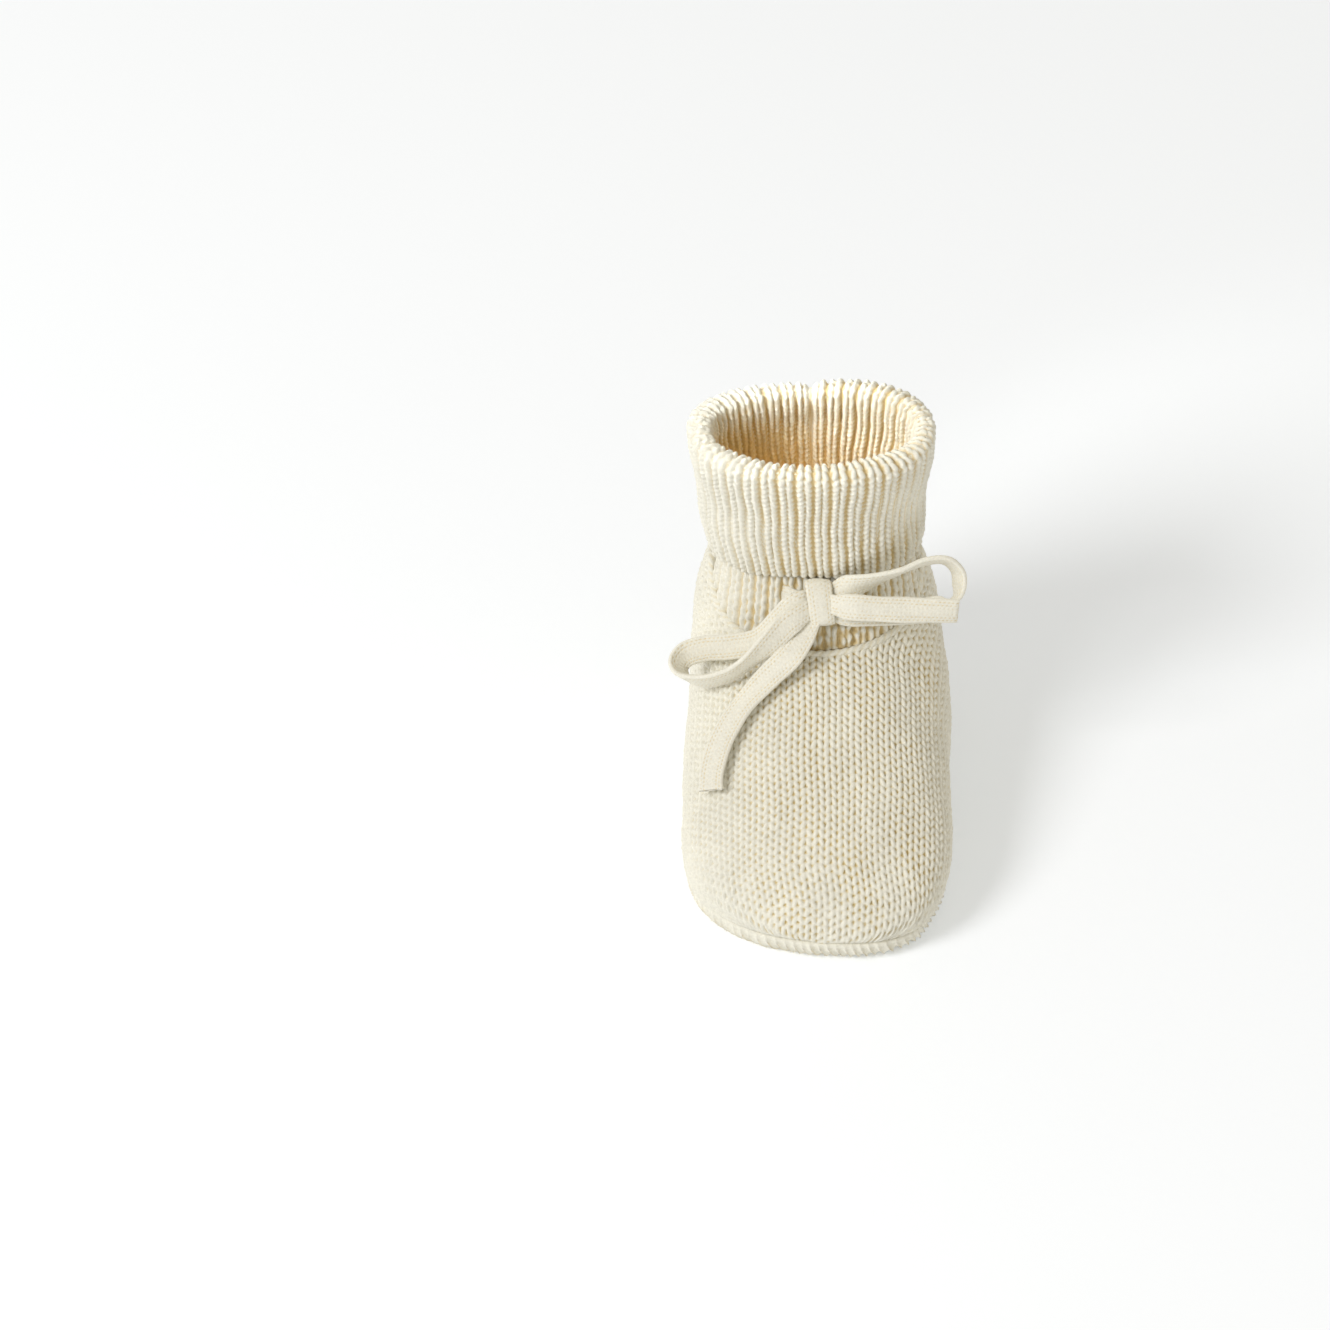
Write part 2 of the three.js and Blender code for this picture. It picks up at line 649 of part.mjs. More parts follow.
// The knot stands on the front of the rib, square to it.
const ribFront = lowerRibPoint(0, 1, TIE_SHARE);
const ribRise = lowerRibPoint(0, 1, 1).sub(ankleSeamPoint(0, 1)).normalize();
const knotOut = vec(0, -ribRise.z, ribRise.y);
const knotCentre = ribFront.clone().addScaledVector(knotOut, KNOT_GAP + KNOT_DEPTH / 2);
knotCentre.x = KNOT_ASIDE;

function tieKnot() {
  const bevel = 0.9;
  const w = KNOT_WIDTH / 2 - bevel;
  const h = KNOT_HEIGHT / 2 - bevel;
  const corners = [[-w, -h * 0.9], [0, -h], [w, -h * 0.9], [w, h * 0.9], [0, h], [-w, h * 0.9]];
  const outline = new THREE.Shape(corners.map(([x, y]) => new THREE.Vector2(x, y)));
  const depth = KNOT_DEPTH - 2 * bevel;
  const geometry = new THREE.ExtrudeGeometry(outline, {
    depth,
    bevelThickness: bevel,
    bevelSize: bevel,
    bevelSegments: 2,
  });
  return geometry.translate(0, 0, -depth / 2);
}

// Routes of the free tape, from the knot outwards. A loop comes back to the knot.
const RIGHT_LOOP = [
  [5.6, 8.8, 56.4], [8, 8.6, 57.4], [12, 8.7, 58.9], [18.5, 9.6, 61.0], [24, 10.8, 62.7],
  [28.6, 11.4, 62.4], [31.2, 10.7, 59.8], [31.4, 9.3, 56.2], [29.8, 8.3, 52.8],
  [25.4, 7.8, 51.0], [19, 7.4, 50.6], [12, 7.0, 50.6], [8, 6.6, 50.8], [5.6, 6.4, 51.0],
];
const LEFT_LOOP = [
  [-4.2, 4.6, 51.8], [-6.8, 3.0, 50.7], [-10.5, 0.4, 47.9], [-15, -1.4, 44.1],
  [-20, -2.6, 40.6], [-25.5, -2.0, 38.4], [-29.6, 0.2, 37.8], [-30.9, 2.8, 38.8],
  [-29.4, 5.0, 39.8], [-25.3, 5.5, 41.2], [-19.5, 4.4, 42.8], [-13, 3.8, 45.2],
  [-8, 5.2, 50.4], [-4.2, 7.4, 53.5],
];
const RIGHT_TAIL = [
  [4.2, 4.3, 54.9], [8, 3.9, 55.2], [13, 3.5, 55.1], [19, 3.4, 54.9], [25, 3.6, 54.6],
  [31.2, 4.0, 54.0],
];
const LEFT_TAIL = [
  [-2.8, 2.8, 48.4], [-5.8, -1.0, 45.6], [-10.4, -3.5, 41.7], [-15.2, -7.0, 38.0],
  [-18.9, -11.2, 35.2], [-21.8, -16, 31.9], [-23.4, -21.3, 28.8], [-23.7, -25.3, 27.1],
];

function tape(route, widthAt, steps) {
  const points = route.map(([x, y, z]) => vec(x, y, z));
  return sweep(points, TAPE_WIDTH, TAPE_THICKNESS, steps, 8, widthAt);
}

// ---- The whole bootie --------------------------------------------------------------------------

function material(color, roughness) {
  return new THREE.MeshStandardMaterial({ color, roughness, metalness: 0 });
}

const group = new THREE.Group();

function add(name, geometry, color) {
  const mesh = new THREE.Mesh(geometry, material(color, 0.95));
  mesh.name = name;
  group.add(mesh);
  return mesh;
}

add('sole_panel', solePanel(), YARN_COLOUR);
add('foot_upper', footUpper(), YARN_COLOUR);
add('ankle_rib', ankleRib(), YARN_COLOUR);
add('turned_cuff', turnedCuff(), YARN_COLOUR);
add('sole_seam', soleSeam(), STITCH_COLOUR);
add('ankle_seam', ankleSeam(), STITCH_COLOUR);
add('heel_seam', heelSeam(), STITCH_COLOUR);
add('cuff_seam', cuffSeam(), STITCH_COLOUR);
add('tie_band', tieBand(), TAPE_COLOUR);

const knot = add('tie_knot', tieKnot(), TAPE_COLOUR);
knot.position.copy(knotCentre);
knot.rotation.x = Math.acos(knotOut.z);

add('bow_loop_right', tape(RIGHT_LOOP, vec(0, 0.61, 0.79), 26), TAPE_COLOUR);
add('bow_loop_left', tape(LEFT_LOOP, vec(0, 0.61, 0.79), 26), TAPE_COLOUR);
add('tie_tail_right', tape(RIGHT_TAIL, vec(0, 0.61, 0.79), 12), TAPE_COLOUR);
add('tie_tail_left', tape(LEFT_TAIL, vec(0.9, 0, 0.4), 14), TAPE_COLOUR);

export default group;
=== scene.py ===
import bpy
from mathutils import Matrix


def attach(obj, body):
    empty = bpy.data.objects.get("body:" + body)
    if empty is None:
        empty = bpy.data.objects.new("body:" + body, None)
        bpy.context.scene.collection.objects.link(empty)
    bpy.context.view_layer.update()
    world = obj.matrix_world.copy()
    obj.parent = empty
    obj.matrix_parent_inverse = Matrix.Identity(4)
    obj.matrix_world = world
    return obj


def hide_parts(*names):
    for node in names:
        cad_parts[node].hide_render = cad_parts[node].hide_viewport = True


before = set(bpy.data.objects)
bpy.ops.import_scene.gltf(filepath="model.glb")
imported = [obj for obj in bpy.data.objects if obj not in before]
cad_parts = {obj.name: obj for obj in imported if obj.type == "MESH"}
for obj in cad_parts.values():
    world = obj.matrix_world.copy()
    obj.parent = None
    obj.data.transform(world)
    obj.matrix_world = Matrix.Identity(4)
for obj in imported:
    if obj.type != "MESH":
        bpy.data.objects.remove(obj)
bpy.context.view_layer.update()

# A knitted baby bootie. The knitted cloth is real geometry, stitch by stitch.
# Shapes are worked out in millimetres and turned into metres when a mesh is made. The toe is at
# -Y and up is +Z. Right and left are meant as seen from the front, where right is +X.

import math

import bpy
import numpy as np
from mathutils import Vector

MM = 0.001

# ---- Shape of the foot, as in the CAD model ----

SOLE_HALF_LENGTH = 51.0
TOE_CENTRE_Y = -25.0
HEEL_CENTRE_Y = 25.0
TOE_HALF_WIDTH = 30.0
HEEL_HALF_WIDTH = 27.8
OUTLINE_ROUNDNESS = 2.4
TOE_ROUNDNESS = 2.6
TOE_SKEW = 0.1
SEAM_Z = 4.6
INSTEP_Y = 3.0
INSTEP_Z = 42.0
INSTEP_SLOPE = 0.46
INSTEP_CURVE = 0.03
HEEL_TOP_DROP = 4.6
SECTION_ROUNDNESS = 2.3
WIDEST_SHARE = 0.35
TUCK_IN = 0.045
ANKLE_CENTRE_Y = 25.0
ANKLE_HALF_WIDTH = 23.5
ANKLE_FRONT = 22.0
ANKLE_BACK = 19.0
TUBE_ROUNDNESS = 2.3
TURN_RADIUS = 27.0
SPREAD = 20.0
KNIT_THICKNESS = 2.1
RIB_THICKNESS = 2.0
CUFF_BOTTOM_Z = 57.5

# ---- Stitches ----

WALE = 2.72                         # width of a stitch of the foot
COURSE = 1.9                        # height of a stitch of the foot
RIBS = 36                           # ribs round the cuff
RIB_WIDTH = 3.8
RIB_COURSE = 1.6                    # height of a stitch of the rib
TAPE_WALE = 1.45
TAPE_COURSE = 0.95
TAPE_WIDTH = 5.8
TAPE_THICKNESS = 1.5
LEG_AT = 0.25                       # middle of a stitch's leg, from the middle of the stitch
LEG_LIFT = 0.10                     # how much the legs differ in height
WALE_SHARE = 0.84                   # of the rib's width, taken by its column of stitches
FURROW = (0.45, 0.06)               # depth and width of the furrow down the middle of a rib
RIB_EDGE = 0.10                     # width of the slope beside a rib
WAIST = 0.055                       # how much narrower a rib is between two stitches
PLAIN_GAP = 0.5                     # the gap value, that is the painted shade, of the cloth's plain inside


def mix(a, b, share):
    return a + (b - a) * share


def smooth(value):
    t = np.clip(value, 0.0, 1.0)
    return t * t * (3 - 2 * t)


def bell(value, middle, width):
    return np.exp(-((value - middle) / width) ** 2)


def super_rest(x, exponent):
    return (1 - np.clip(np.abs(x), 0, 1) ** exponent) ** (1 / exponent)


def signed_power(x, exponent):
    return np.sign(x) * np.abs(x) ** exponent


def oval_reach(angle, wide, deep, roundness):
    """The distance from the middle of a rounded oval to its edge."""
    ray = (np.abs(np.cos(angle)) / wide) ** roundness + (np.abs(np.sin(angle)) / deep) ** roundness
    return ray ** (-1 / roundness)


def unit(v):
    return v / np.maximum(np.linalg.norm(v, axis=-1, keepdims=True), 1e-9)


def lengths_along(line):
    """The length of the line up to each of its points."""
    return np.concatenate([[0], np.cumsum(np.linalg.norm(np.diff(line, axis=0), axis=1))])


def read_line(at, way, line):
    """The points of a line at other places than its own."""
    return np.stack([np.interp(at, way, line[:, a]) for a in range(3)], axis=1)


def waves(x, y, seed, size):
    """Smooth noise from -1 to 1, with bumps of about that size."""
    rng = np.random.default_rng(seed)
    total = 0.0
    for _ in range(6):
        turn, phase, scale = rng.uniform(0, 2 * math.pi), rng.uniform(0, 7), rng.uniform(0.6, 1.7)
        k = 2 * math.pi * scale / (2.2 * size)
        total = total + np.sin(k * (x * math.cos(turn) + y * math.sin(turn)) + phase)
    return total / 3.2


def stitch_random(column, row, seed):
    """A number from -1 to 1 for each stitch."""
    table = np.random.default_rng(seed).uniform(-1, 1, (257, 263))
    return table[column.astype(int) % 257, row.astype(int) % 263]


# ---- Knitted relief ----

def knit(x, y, seed, slant=0.23, width=0.245, length=0.67, jitter=0.07):
    """Relief of plain knitting from 0 to 1: x counts stitches across, y rows up. Each stitch is
    a V of two yarn legs, and each leg a long lobe that the next row's leg partly covers."""
    column, row = np.floor(x), np.floor(y)
    across = x - column - 0.5
    side, at = np.sign(across), np.abs(across)
    own = (at, column * 2 + (side > 0))
    beside = (1 - at, (column + side) * 2 + (side < 0))
    best = np.zeros(np.broadcast(x, y).shape)
    for at, leg in (own, beside):
        for k in (-1, 0, 1):
            up = y - (row + k + 0.5)
            chance = stitch_random(leg, row + k, seed)
            off = (at - LEG_AT - slant * up) / (width * (1 + jitter * chance))
            lobe = 1 - off ** 2 - (up / length) ** 2
            lift = 1 + LEG_LIFT * stitch_random(leg, row + k, seed + 1)
            best = np.maximum(best, np.sqrt(np.maximum(lobe, 0)) * lift)
    return best


def rib_relief(phase, y, seed):
    """Relief of single rib: a raised column of V stitches, and between two of them a sunk gap."""
    rib = np.floor(phase)
    across = phase - rib - 0.5
    inside = np.clip(across / WALE_SHARE, -0.5, 0.5)
    wale = knit(rib + 0.5 + inside, y, seed, slant=0.19, width=0.24, length=0.68, jitter=0.16) \
        * (1 - FURROW[0] * bell(across, 0, FURROW[1]))
    chance = stitch_random(rib, np.floor(y), seed + 2)
    waist = np.sin(math.pi * (y + 0.12)) ** 2 * (1 + 0.5 * chance)
    edge = smooth((0.5 - WAIST * waist - np.abs(across)) / RIB_EDGE)
    rounding = np.sqrt(np.maximum(0, 1 - (across / 0.52) ** 2))
    return edge * (0.82 * wale + 0.18 * rounding)


# ---- Meshes ----

def grid_quads(index, wrap_i=False, wrap_j=False):
    """The faces between the points of a grid, which may close on itself either way."""
    a = index
    if wrap_i:
        a = np.concatenate([a, a[:1]], axis=0)
    if wrap_j:
        a = np.concatenate([a, a[:, :1]], axis=1)
    corners = [a[:-1, :-1], a[1:, :-1], a[1:, 1:], a[:-1, 1:]]
    return np.stack([c.ravel() for c in corners], axis=1)


def grid_normals(grid, wrap_i=False, wrap_j=False):
    def slope(axis, wrap):
        if wrap:
            return np.roll(grid, -1, axis) - np.roll(grid, 1, axis)
        return np.gradient(grid, axis=axis)
    return unit(np.cross(slope(0, wrap_i), slope(1, wrap_j)))


def make_object(name, points, faces, gap, material):
    """A piece. gap says for each point how much painted shade it gets, from 0 to 1: mostly by how
    deep it lies between the yarns, and more in eyelets and inside the tube.
    """
    mesh = bpy.data.meshes.new(name)
    mesh.from_pydata((np.asarray(points) * MM).tolist(), [], [list(f) for f in faces])
    mesh.polygons.foreach_set("use_smooth", [True] * len(mesh.polygons))
    layer = mesh.attributes.new("gap", "FLOAT", "POINT")
    layer.data.foreach_set("value", np.asarray(gap, dtype=np.float32))
    mesh.update()
    obj = bpy.data.objects.new(name, mesh)
    bpy.context.collection.objects.link(obj)
    mesh.materials.append(material)
    return obj


def closed_cloth(name, outer, inner, step, gap, material):
    """Cloth with a detailed outside and a plain inside, which has every step-th point of it."""
    rows, columns = outer.shape[:2]
    fine = np.arange(rows * columns).reshape(rows, columns)
    inner_rows, inner_columns = inner.shape[:2]
    coarse = fine.size + np.arange(inner_rows * inner_columns).reshape(inner_rows, inner_columns)
    faces = grid_quads(fine).tolist() + grid_quads(coarse)[:, ::-1].tolist()
    borders = [
        (fine[:, 0], coarse[:, 0]),
        (fine[-1], coarse[-1]),
        (fine[::-1, -1], coarse[::-1, -1]),
        (fine[0, ::-1], coarse[0, ::-1]),
    ]
    for f, c in borders:
        f, c = f.tolist(), c.tolist()
        for k in range(len(c) - 1):
            for m in range(k * step, (k + 1) * step):
                faces.append([f[m + 1], f[m], c[k]])
            faces.append([f[(k + 1) * step], c[k], c[k + 1]])
    points = np.concatenate([outer.reshape(-1, 3), inner.reshape(-1, 3)])
    gaps = np.concatenate([gap.ravel(), np.full(coarse.size, PLAIN_GAP)])
    return make_object(name, points, faces, gaps, material)


def capped_tube(name, rings, gap, material):
    """A closed tube through rings of points, with a middle point at each end."""
    count, around = rings.shape[:2]
    index = np.arange(count * around).reshape(count, around)
    faces = grid_quads(index, wrap_j=True)[:, ::-1].tolist()
    first, last = count * around, count * around + 1
    for j in range(around):
        k = (j + 1) % around
        faces.append([first, int(index[0, j]), int(index[0, k])])
        faces.append([last, int(index[-1, k]), int(index[-1, j])])
    middles = np.stack([rings[0].mean(axis=0), rings[-1].mean(axis=0)])
    points = np.concatenate([rings.reshape(-1, 3), middles])
    gaps = np.append(gap.ravel(), [PLAIN_GAP, PLAIN_GAP])
    return make_object(name, points, faces, gaps, material)


# ---- Materials ----

FIBRE_HEIGHT = 0.32
PATCH_TONES = (0.955, 1.03)         # how much wide patches of the wool differ in brightness
FLECK_TONES = (0.88, 1.06)          # and the short fibres


def wool(name, light, deep, grain=0.35):
    """Wool: pale on top of the yarns and tan in the gaps, the tan being painted shade set by the
    gap attribute, with mottling and short fibres.
    """
    material = bpy.data.materials.new(name)
    material.use_nodes = True
    nodes, links = material.node_tree.nodes, material.node_tree.links
    shader = nodes["Principled BSDF"]
    shader.inputs["Roughness"].default_value = 0.92
    shader.inputs["Specular IOR Level"].default_value = 0.18
    shader.inputs["Sheen Weight"].default_value = 0.2
    shader.inputs["Sheen Roughness"].default_value = 0.55
    shader.inputs["Sheen Tint"].default_value = (1.0, 0.97, 0.90, 1)

    place = nodes.new("ShaderNodeTexCoord")

    def noise(scale, detail, rough):
        n = nodes.new("ShaderNodeTexNoise")
        n.inputs["Scale"].default_value = scale
        n.inputs["Detail"].default_value = detail
        n.inputs["Roughness"].default_value = rough
        links.new(place.outputs["Object"], n.inputs["Vector"])
        return n

    # The gap attribute picks between the wool's own pale colour and the tan of painted shade.
    gap = nodes.new("ShaderNodeAttribute")
    gap.attribute_name = "gap"
    ramp = nodes.new("ShaderNodeValToRGB")
    ramp.color_ramp.interpolation = "EASE"
    ramp.color_ramp.elements[0].position = 0.22
    ramp.color_ramp.elements[0].color = (*light, 1)
    ramp.color_ramp.elements[1].position = 0.95
    ramp.color_ramp.elements[1].color = (*deep, 1)
    links.new(gap.outputs["Fac"], ramp.inputs["Fac"])

    def tones(source, spread, limits):
        n = nodes.new("ShaderNodeMapRange")
        n.inputs["From Min"].default_value = 0.5 - spread
        n.inputs["From Max"].default_value = 0.5 + spread
        n.inputs["To Min"].default_value, n.inputs["To Max"].default_value = limits
        links.new(source.outputs["Fac"], n.inputs["Value"])
        return n.outputs["Result"]

    both = nodes.new("ShaderNodeMath")
    both.operation = "MULTIPLY"
    links.new(tones(noise(90.0, 2.0, 0.5), 0.2, PATCH_TONES), both.inputs[0])
    links.new(tones(noise(2100.0, 3.0, 0.65), 0.25, FLECK_TONES), both.inputs[1])
    colour = nodes.new("ShaderNodeVectorMath")
    colour.operation = "SCALE"
    links.new(ramp.outputs["Color"], colour.inputs[0])
    links.new(both.outputs["Value"], colour.inputs["Scale"])
    links.new(colour.outputs["Vector"], shader.inputs["Base Color"])

    fibres = noise(3600.0, 4.0, 0.7)
    bump = nodes.new("ShaderNodeBump")
    bump.inputs["Strength"].default_value = grain
    bump.inputs["Distance"].default_value = FIBRE_HEIGHT * MM
    links.new(fibres.outputs["Fac"], bump.inputs["Height"])
    links.new(bump.outputs["Normal"], shader.inputs["Normal"])
    return material


# Each wool's second colour is the tan of the painted shade in the gaps.
FOOT_WOOL = wool("foot_wool", (0.875, 0.85, 0.745), (0.74, 0.59, 0.29))
RIB_WOOL = wool("rib_wool", (0.875, 0.85, 0.75), (0.77, 0.62, 0.34))
SEAM_WOOL = wool("seam_wool", (0.87, 0.845, 0.74), (0.80, 0.71, 0.50))
TAPE_WOOL = wool("tape_wool", (0.87, 0.845, 0.745), (0.79, 0.67, 0.43), grain=0.25)

# ---- Camera ----

LENS = 200.0
VIEW_WIDTH = 295.6                  # width of the view at the bootie, in millimetres
ELEVATION = math.radians(43)
AIM = np.array([-33.8, 0.0, 41.4])  # the middle of the view, left of the bootie

camera_data = bpy.data.cameras.new("camera")
camera_data.lens = LENS
camera_data.clip_start = 0.05
camera_data.clip_end = 20
camera = bpy.data.objects.new("camera", camera_data)
bpy.context.collection.objects.link(camera)
distance = VIEW_WIDTH / 2 / (camera_data.sensor_width / 2 / LENS)
back = np.array([0.0, -math.cos(ELEVATION), math.sin(ELEVATION)])
camera.location = (AIM + back * distance) * MM
camera.rotation_euler = (math.pi / 2 - ELEVATION, 0, 0)
bpy.context.scene.camera = camera

# ---- The tie's free tape: two loops and two ends ----

def smooth_path(points, spacing):
    """A centripetal Catmull-Rom curve through the points, as in the CAD model, evenly spaced.
    Also gives the place of each sample among the points."""
    p = np.array(points, dtype=float)
    p = np.concatenate([[2 * p[0] - p[1]], p, [2 * p[-1] - p[-2]]])
    out, place = [], []
    for k in range(1, len(p) - 2):
        q = p[k - 1:k + 3]
        t = np.concatenate([[0], np.cumsum(np.linalg.norm(np.diff(q, axis=0), axis=1) ** 0.5)])

        def between(a, b, start, end, at):
            return a + (b - a) * (at - t[start]) / (t[end] - t[start])

        for s in np.linspace(0, 1, 24, endpoint=k == len(p) - 3):
            at = mix(t[1], t[2], s)
            level = [between(q[i], q[i + 1], i, i + 1, at) for i in (0, 1, 2)]
            level = [between(level[i], level[i + 1], i, i + 2, at) for i in (0, 1)]
            out.append(between(level[0], level[1], 1, 2, at))
            place.append(k - 1 + s)
    out, place = np.array(out), np.array(place)
    way = lengths_along(out)
    even = np.linspace(0, way[-1], max(8, int(way[-1] / spacing)))
    return read_line(even, way, out), even, np.interp(even, way, place)


TAPE_AROUND = 60
HELD_SHARE = 0.74                   # of its width, where the knot squeezes the tape
HELD_TO, FREE_AFTER = 1.5, 5        # how far from the knot it is squeezed, and then widens
TIP = 0.9                           # length of the thinned tip of a free end
SQUARE_ACROSS, SQUARE_DEEP = 0.85, 0.62
TAPE_STITCH = 0.24                  # relief of the tape's stitches


def tape_relief(across, way, seed):
    return knit(across / TAPE_WALE + 40, way / TAPE_COURSE + 0 * across, seed,
                slant=0.2, width=0.25, length=0.74)


def tape(name, route, widths, seed, held=(True, True), spacing=0.2):
    """A flat knitted tape along a route. widths gives the direction of the tape's width at each
    point of the route, and held says which of its ends a knot holds."""
    line, way, place = smooth_path(route, spacing)
    tangent = unit(np.gradient(line, axis=0))
    wide = read_line(place, np.arange(len(route)), np.array(widths))
    kernel = np.hanning(31) / np.hanning(31).sum()
    padded = np.pad(wide, ((15, 15), (0, 0)), mode="edge")
    wide = np.stack([np.convolve(padded[:, a], kernel, mode="valid") for a in range(3)], axis=1)
    wide = unit(wide - (wide * tangent).sum(axis=1, keepdims=True) * tangent)
    flat = np.cross(tangent, wide)
    squeeze = np.ones(len(line))
    tip = np.ones(len(line))
    for is_held, to_end in zip(held, (way, way[-1] - way)):
        if is_held:
            squeeze = squeeze * mix(HELD_SHARE, 1, smooth((to_end - HELD_TO) / FREE_AFTER))
        else:
            tip = tip * np.sqrt(1 - 0.8 * (1 - np.clip(to_end / TIP, 0, 1)) ** 2)
    turn = 2 * math.pi * (np.arange(TAPE_AROUND) + 0.5) / TAPE_AROUND
    x = signed_power(np.cos(turn), SQUARE_ACROSS)
    z = signed_power(np.sin(turn), SQUARE_DEEP)
    half = TAPE_WIDTH / 2 * squeeze * (1 + 0.025 * waves(way, way * 0, seed, 6))
    across = half[:, None] * x[None] * mix(0.97, 1, tip)[:, None]
    relief = tape_relief(across, way[:, None], seed)
    face = smooth((np.abs(z) - 0.25) / 0.4)[None]
    curl = 0.25 * waves(way, way * 0, seed + 100, 9)[:, None] * (x[None] ** 2 - 0.4)
    depth = TAPE_THICKNESS / 2 * z[None] * (1 - 0.10 * (1 - x[None] ** 2)) * tip[:, None] \
        + np.sign(z)[None] * face * TAPE_STITCH * (relief - 0.7) + curl
    rings = line[:, None] + wide[:, None] * across[..., None] + flat[:, None] * depth[..., None]
    # Painted shade: tan between the stitches on the tape's faces, and a little along its edges.
    gap = np.clip(1 - relief, 0, 1) * face + 0.15 * (1 - face)
    return capped_tube(name, rings, gap, TAPE_WOOL), line


RIGHT_LOOP = [
    [5.6, 8.8, 56.4], [8, 8.6, 57.4], [12, 8.7, 58.9], [18.5, 9.6, 61.0], [24, 10.8, 62.7],
    [28.6, 11.4, 62.4], [31.2, 10.7, 59.8], [31.4, 9.3, 56.2], [29.8, 8.3, 52.8],
    [25.4, 7.8, 51.0], [19, 7.4, 50.6], [12, 7.0, 50.6], [8, 6.6, 50.8], [5.6, 6.4, 51.0],
]
LEFT_LOOP = [
    [-4.2, 4.6, 51.8], [-6.8, 3.0, 50.7], [-10.5, 0.4, 47.9], [-15, -1.4, 44.1],
    [-20, -2.6, 40.6], [-25.5, -2.0, 38.4], [-29.6, 0.2, 37.8], [-30.9, 2.8, 38.8],
    [-29.4, 5.0, 39.8], [-25.3, 5.5, 41.2], [-19.5, 4.4, 42.8], [-13, 3.8, 45.2],
    [-8, 5.2, 50.4], [-4.2, 7.4, 53.5],
]
RIGHT_TAIL = [
    [4.6, 5.4, 54.4], [8, 3.9, 55.2], [13, 3.5, 55.1], [19, 3.4, 54.9], [25, 3.6, 54.6],
    [31.2, 4.0, 54.0],
]
LEFT_TAIL = [
    [-2.8, 2.8, 48.4], [-5.8, -1.0, 45.6], [-10.4, -3.5, 41.7], [-15.2, -7.0, 38.0],
    [-18.9, -11.2, 35.2], [-21.8, -16, 31.9], [-23.4, -21.3, 28.8], [-23.7, -25.3, 27.1],
]
UP = (0, 0.61, 0.79)                # up the front of the ankle rib

# Inside the knot, where the tape of each loop and end starts or stops.
RIGHT_LOOP_IN, RIGHT_LOOP_OUT = [2.3, 9.2, 53.6], [2.3, 7.5, 52.2]
LEFT_LOOP_IN, LEFT_LOOP_OUT = [-0.8, 6.9, 52.4], [-0.8, 8.9, 53.6]
RIGHT_TAIL_IN, LEFT_TAIL_IN = [1.8, 7.4, 53.7], [-0.2, 6.6, 50.8]

# Directions of the tape's width.
FACED, LEVEL, FLARED = (0, 0.66, 0.75), (0, 0.1, 1), (0, -0.35, 0.94)
EDGE_ON = (0, -0.7, 0.71)

bow_loop_right, right_loop_line = tape(
    "bow_loop_right_tape", [RIGHT_LOOP_IN, *RIGHT_LOOP, RIGHT_LOOP_OUT],
    [FACED] * 2 + [
        LEVEL, FLARED, EDGE_ON, (0, -0.6, 0.8), (0.25, -0.6, 0.76), (0.4, -0.65, 0.64),
        (0.4, -0.55, 0.7), (0.2, -0.2, 0.9),
    ] + [UP] * 6, 11)
bow_loop_left, left_loop_line = tape(
    "bow_loop_left_tape", [LEFT_LOOP_IN, *LEFT_LOOP, LEFT_LOOP_OUT],
    [FACED] * 3 + [
        (-0.1, 0.25, 0.95), (-0.25, -0.35, 0.9), (-0.2, -0.35, 0.9), (-0.1, -0.4, 0.9),
        (-0.6, -0.4, 0.7), (-0.8, -0.1, 0.6), (-0.4, 0.5, 0.77),
    ] + [FACED] * 6, 12)
tie_tail_right, _ = tape(
    "tie_tail_right_tape", [RIGHT_TAIL_IN, *RIGHT_TAIL],
    [UP] * 5 + [(0, 0.4, 0.9), (0, 0.2, 1)], 13, held=(True, False))
tie_tail_left, left_tail_line = tape(
    "tie_tail_left_tape", [LEFT_TAIL_IN, *LEFT_TAIL],
    [(0.8, 0.1, 0.2)] + [(0.8, -0.2, 0)] * 2 + [(0.85, -0.2, 0.1)] + [(0.9, 0, 0.4)] * 5, 14,
    held=(True, False))

# ---- The foot's surface, from cloth coordinates ----

def half_width(y):
    toe_length = SOLE_HALF_LENGTH + TOE_CENTRE_Y
    toe = TOE_HALF_WIDTH * super_rest((y - TOE_CENTRE_Y) / toe_length, OUTLINE_ROUNDNESS)
    share = (y - TOE_CENTRE_Y) / (HEEL_CENTRE_Y - TOE_CENTRE_Y)
    middle = mix(TOE_HALF_WIDTH, HEEL_HALF_WIDTH, smooth(share))
    return np.maximum(1e-6, np.where(y < TOE_CENTRE_Y, toe, middle))


def crown_height(y):
    behind = y - INSTEP_Y
    ramp = INSTEP_Z + INSTEP_SLOPE * behind + INSTEP_CURVE * np.maximum(0, behind) ** 2
    toe_length = SOLE_HALF_LENGTH + TOE_CENTRE_Y
    rest = super_rest((y - TOE_CENTRE_Y) / toe_length, TOE_ROUNDNESS)
    toe = SEAM_Z + np.maximum(1e-6, (ramp - SEAM_Z) * rest)
    return np.where(y < TOE_CENTRE_Y, toe, ramp)


WALE_BEND = 12.0                    # length of the bend of the wales behind the instep
INSTEP_SWELL = 2.3                  # how far the right side swells beside the instep
HEEL_SINK = 1.3                     # how far the left side sinks beside the heel
TOE_TAPER = 0.015                   # how much narrower the toe is on the right
TOE_RIGHT, TOE_FORWARD = 0.9, 0.5   # how far the toe moves


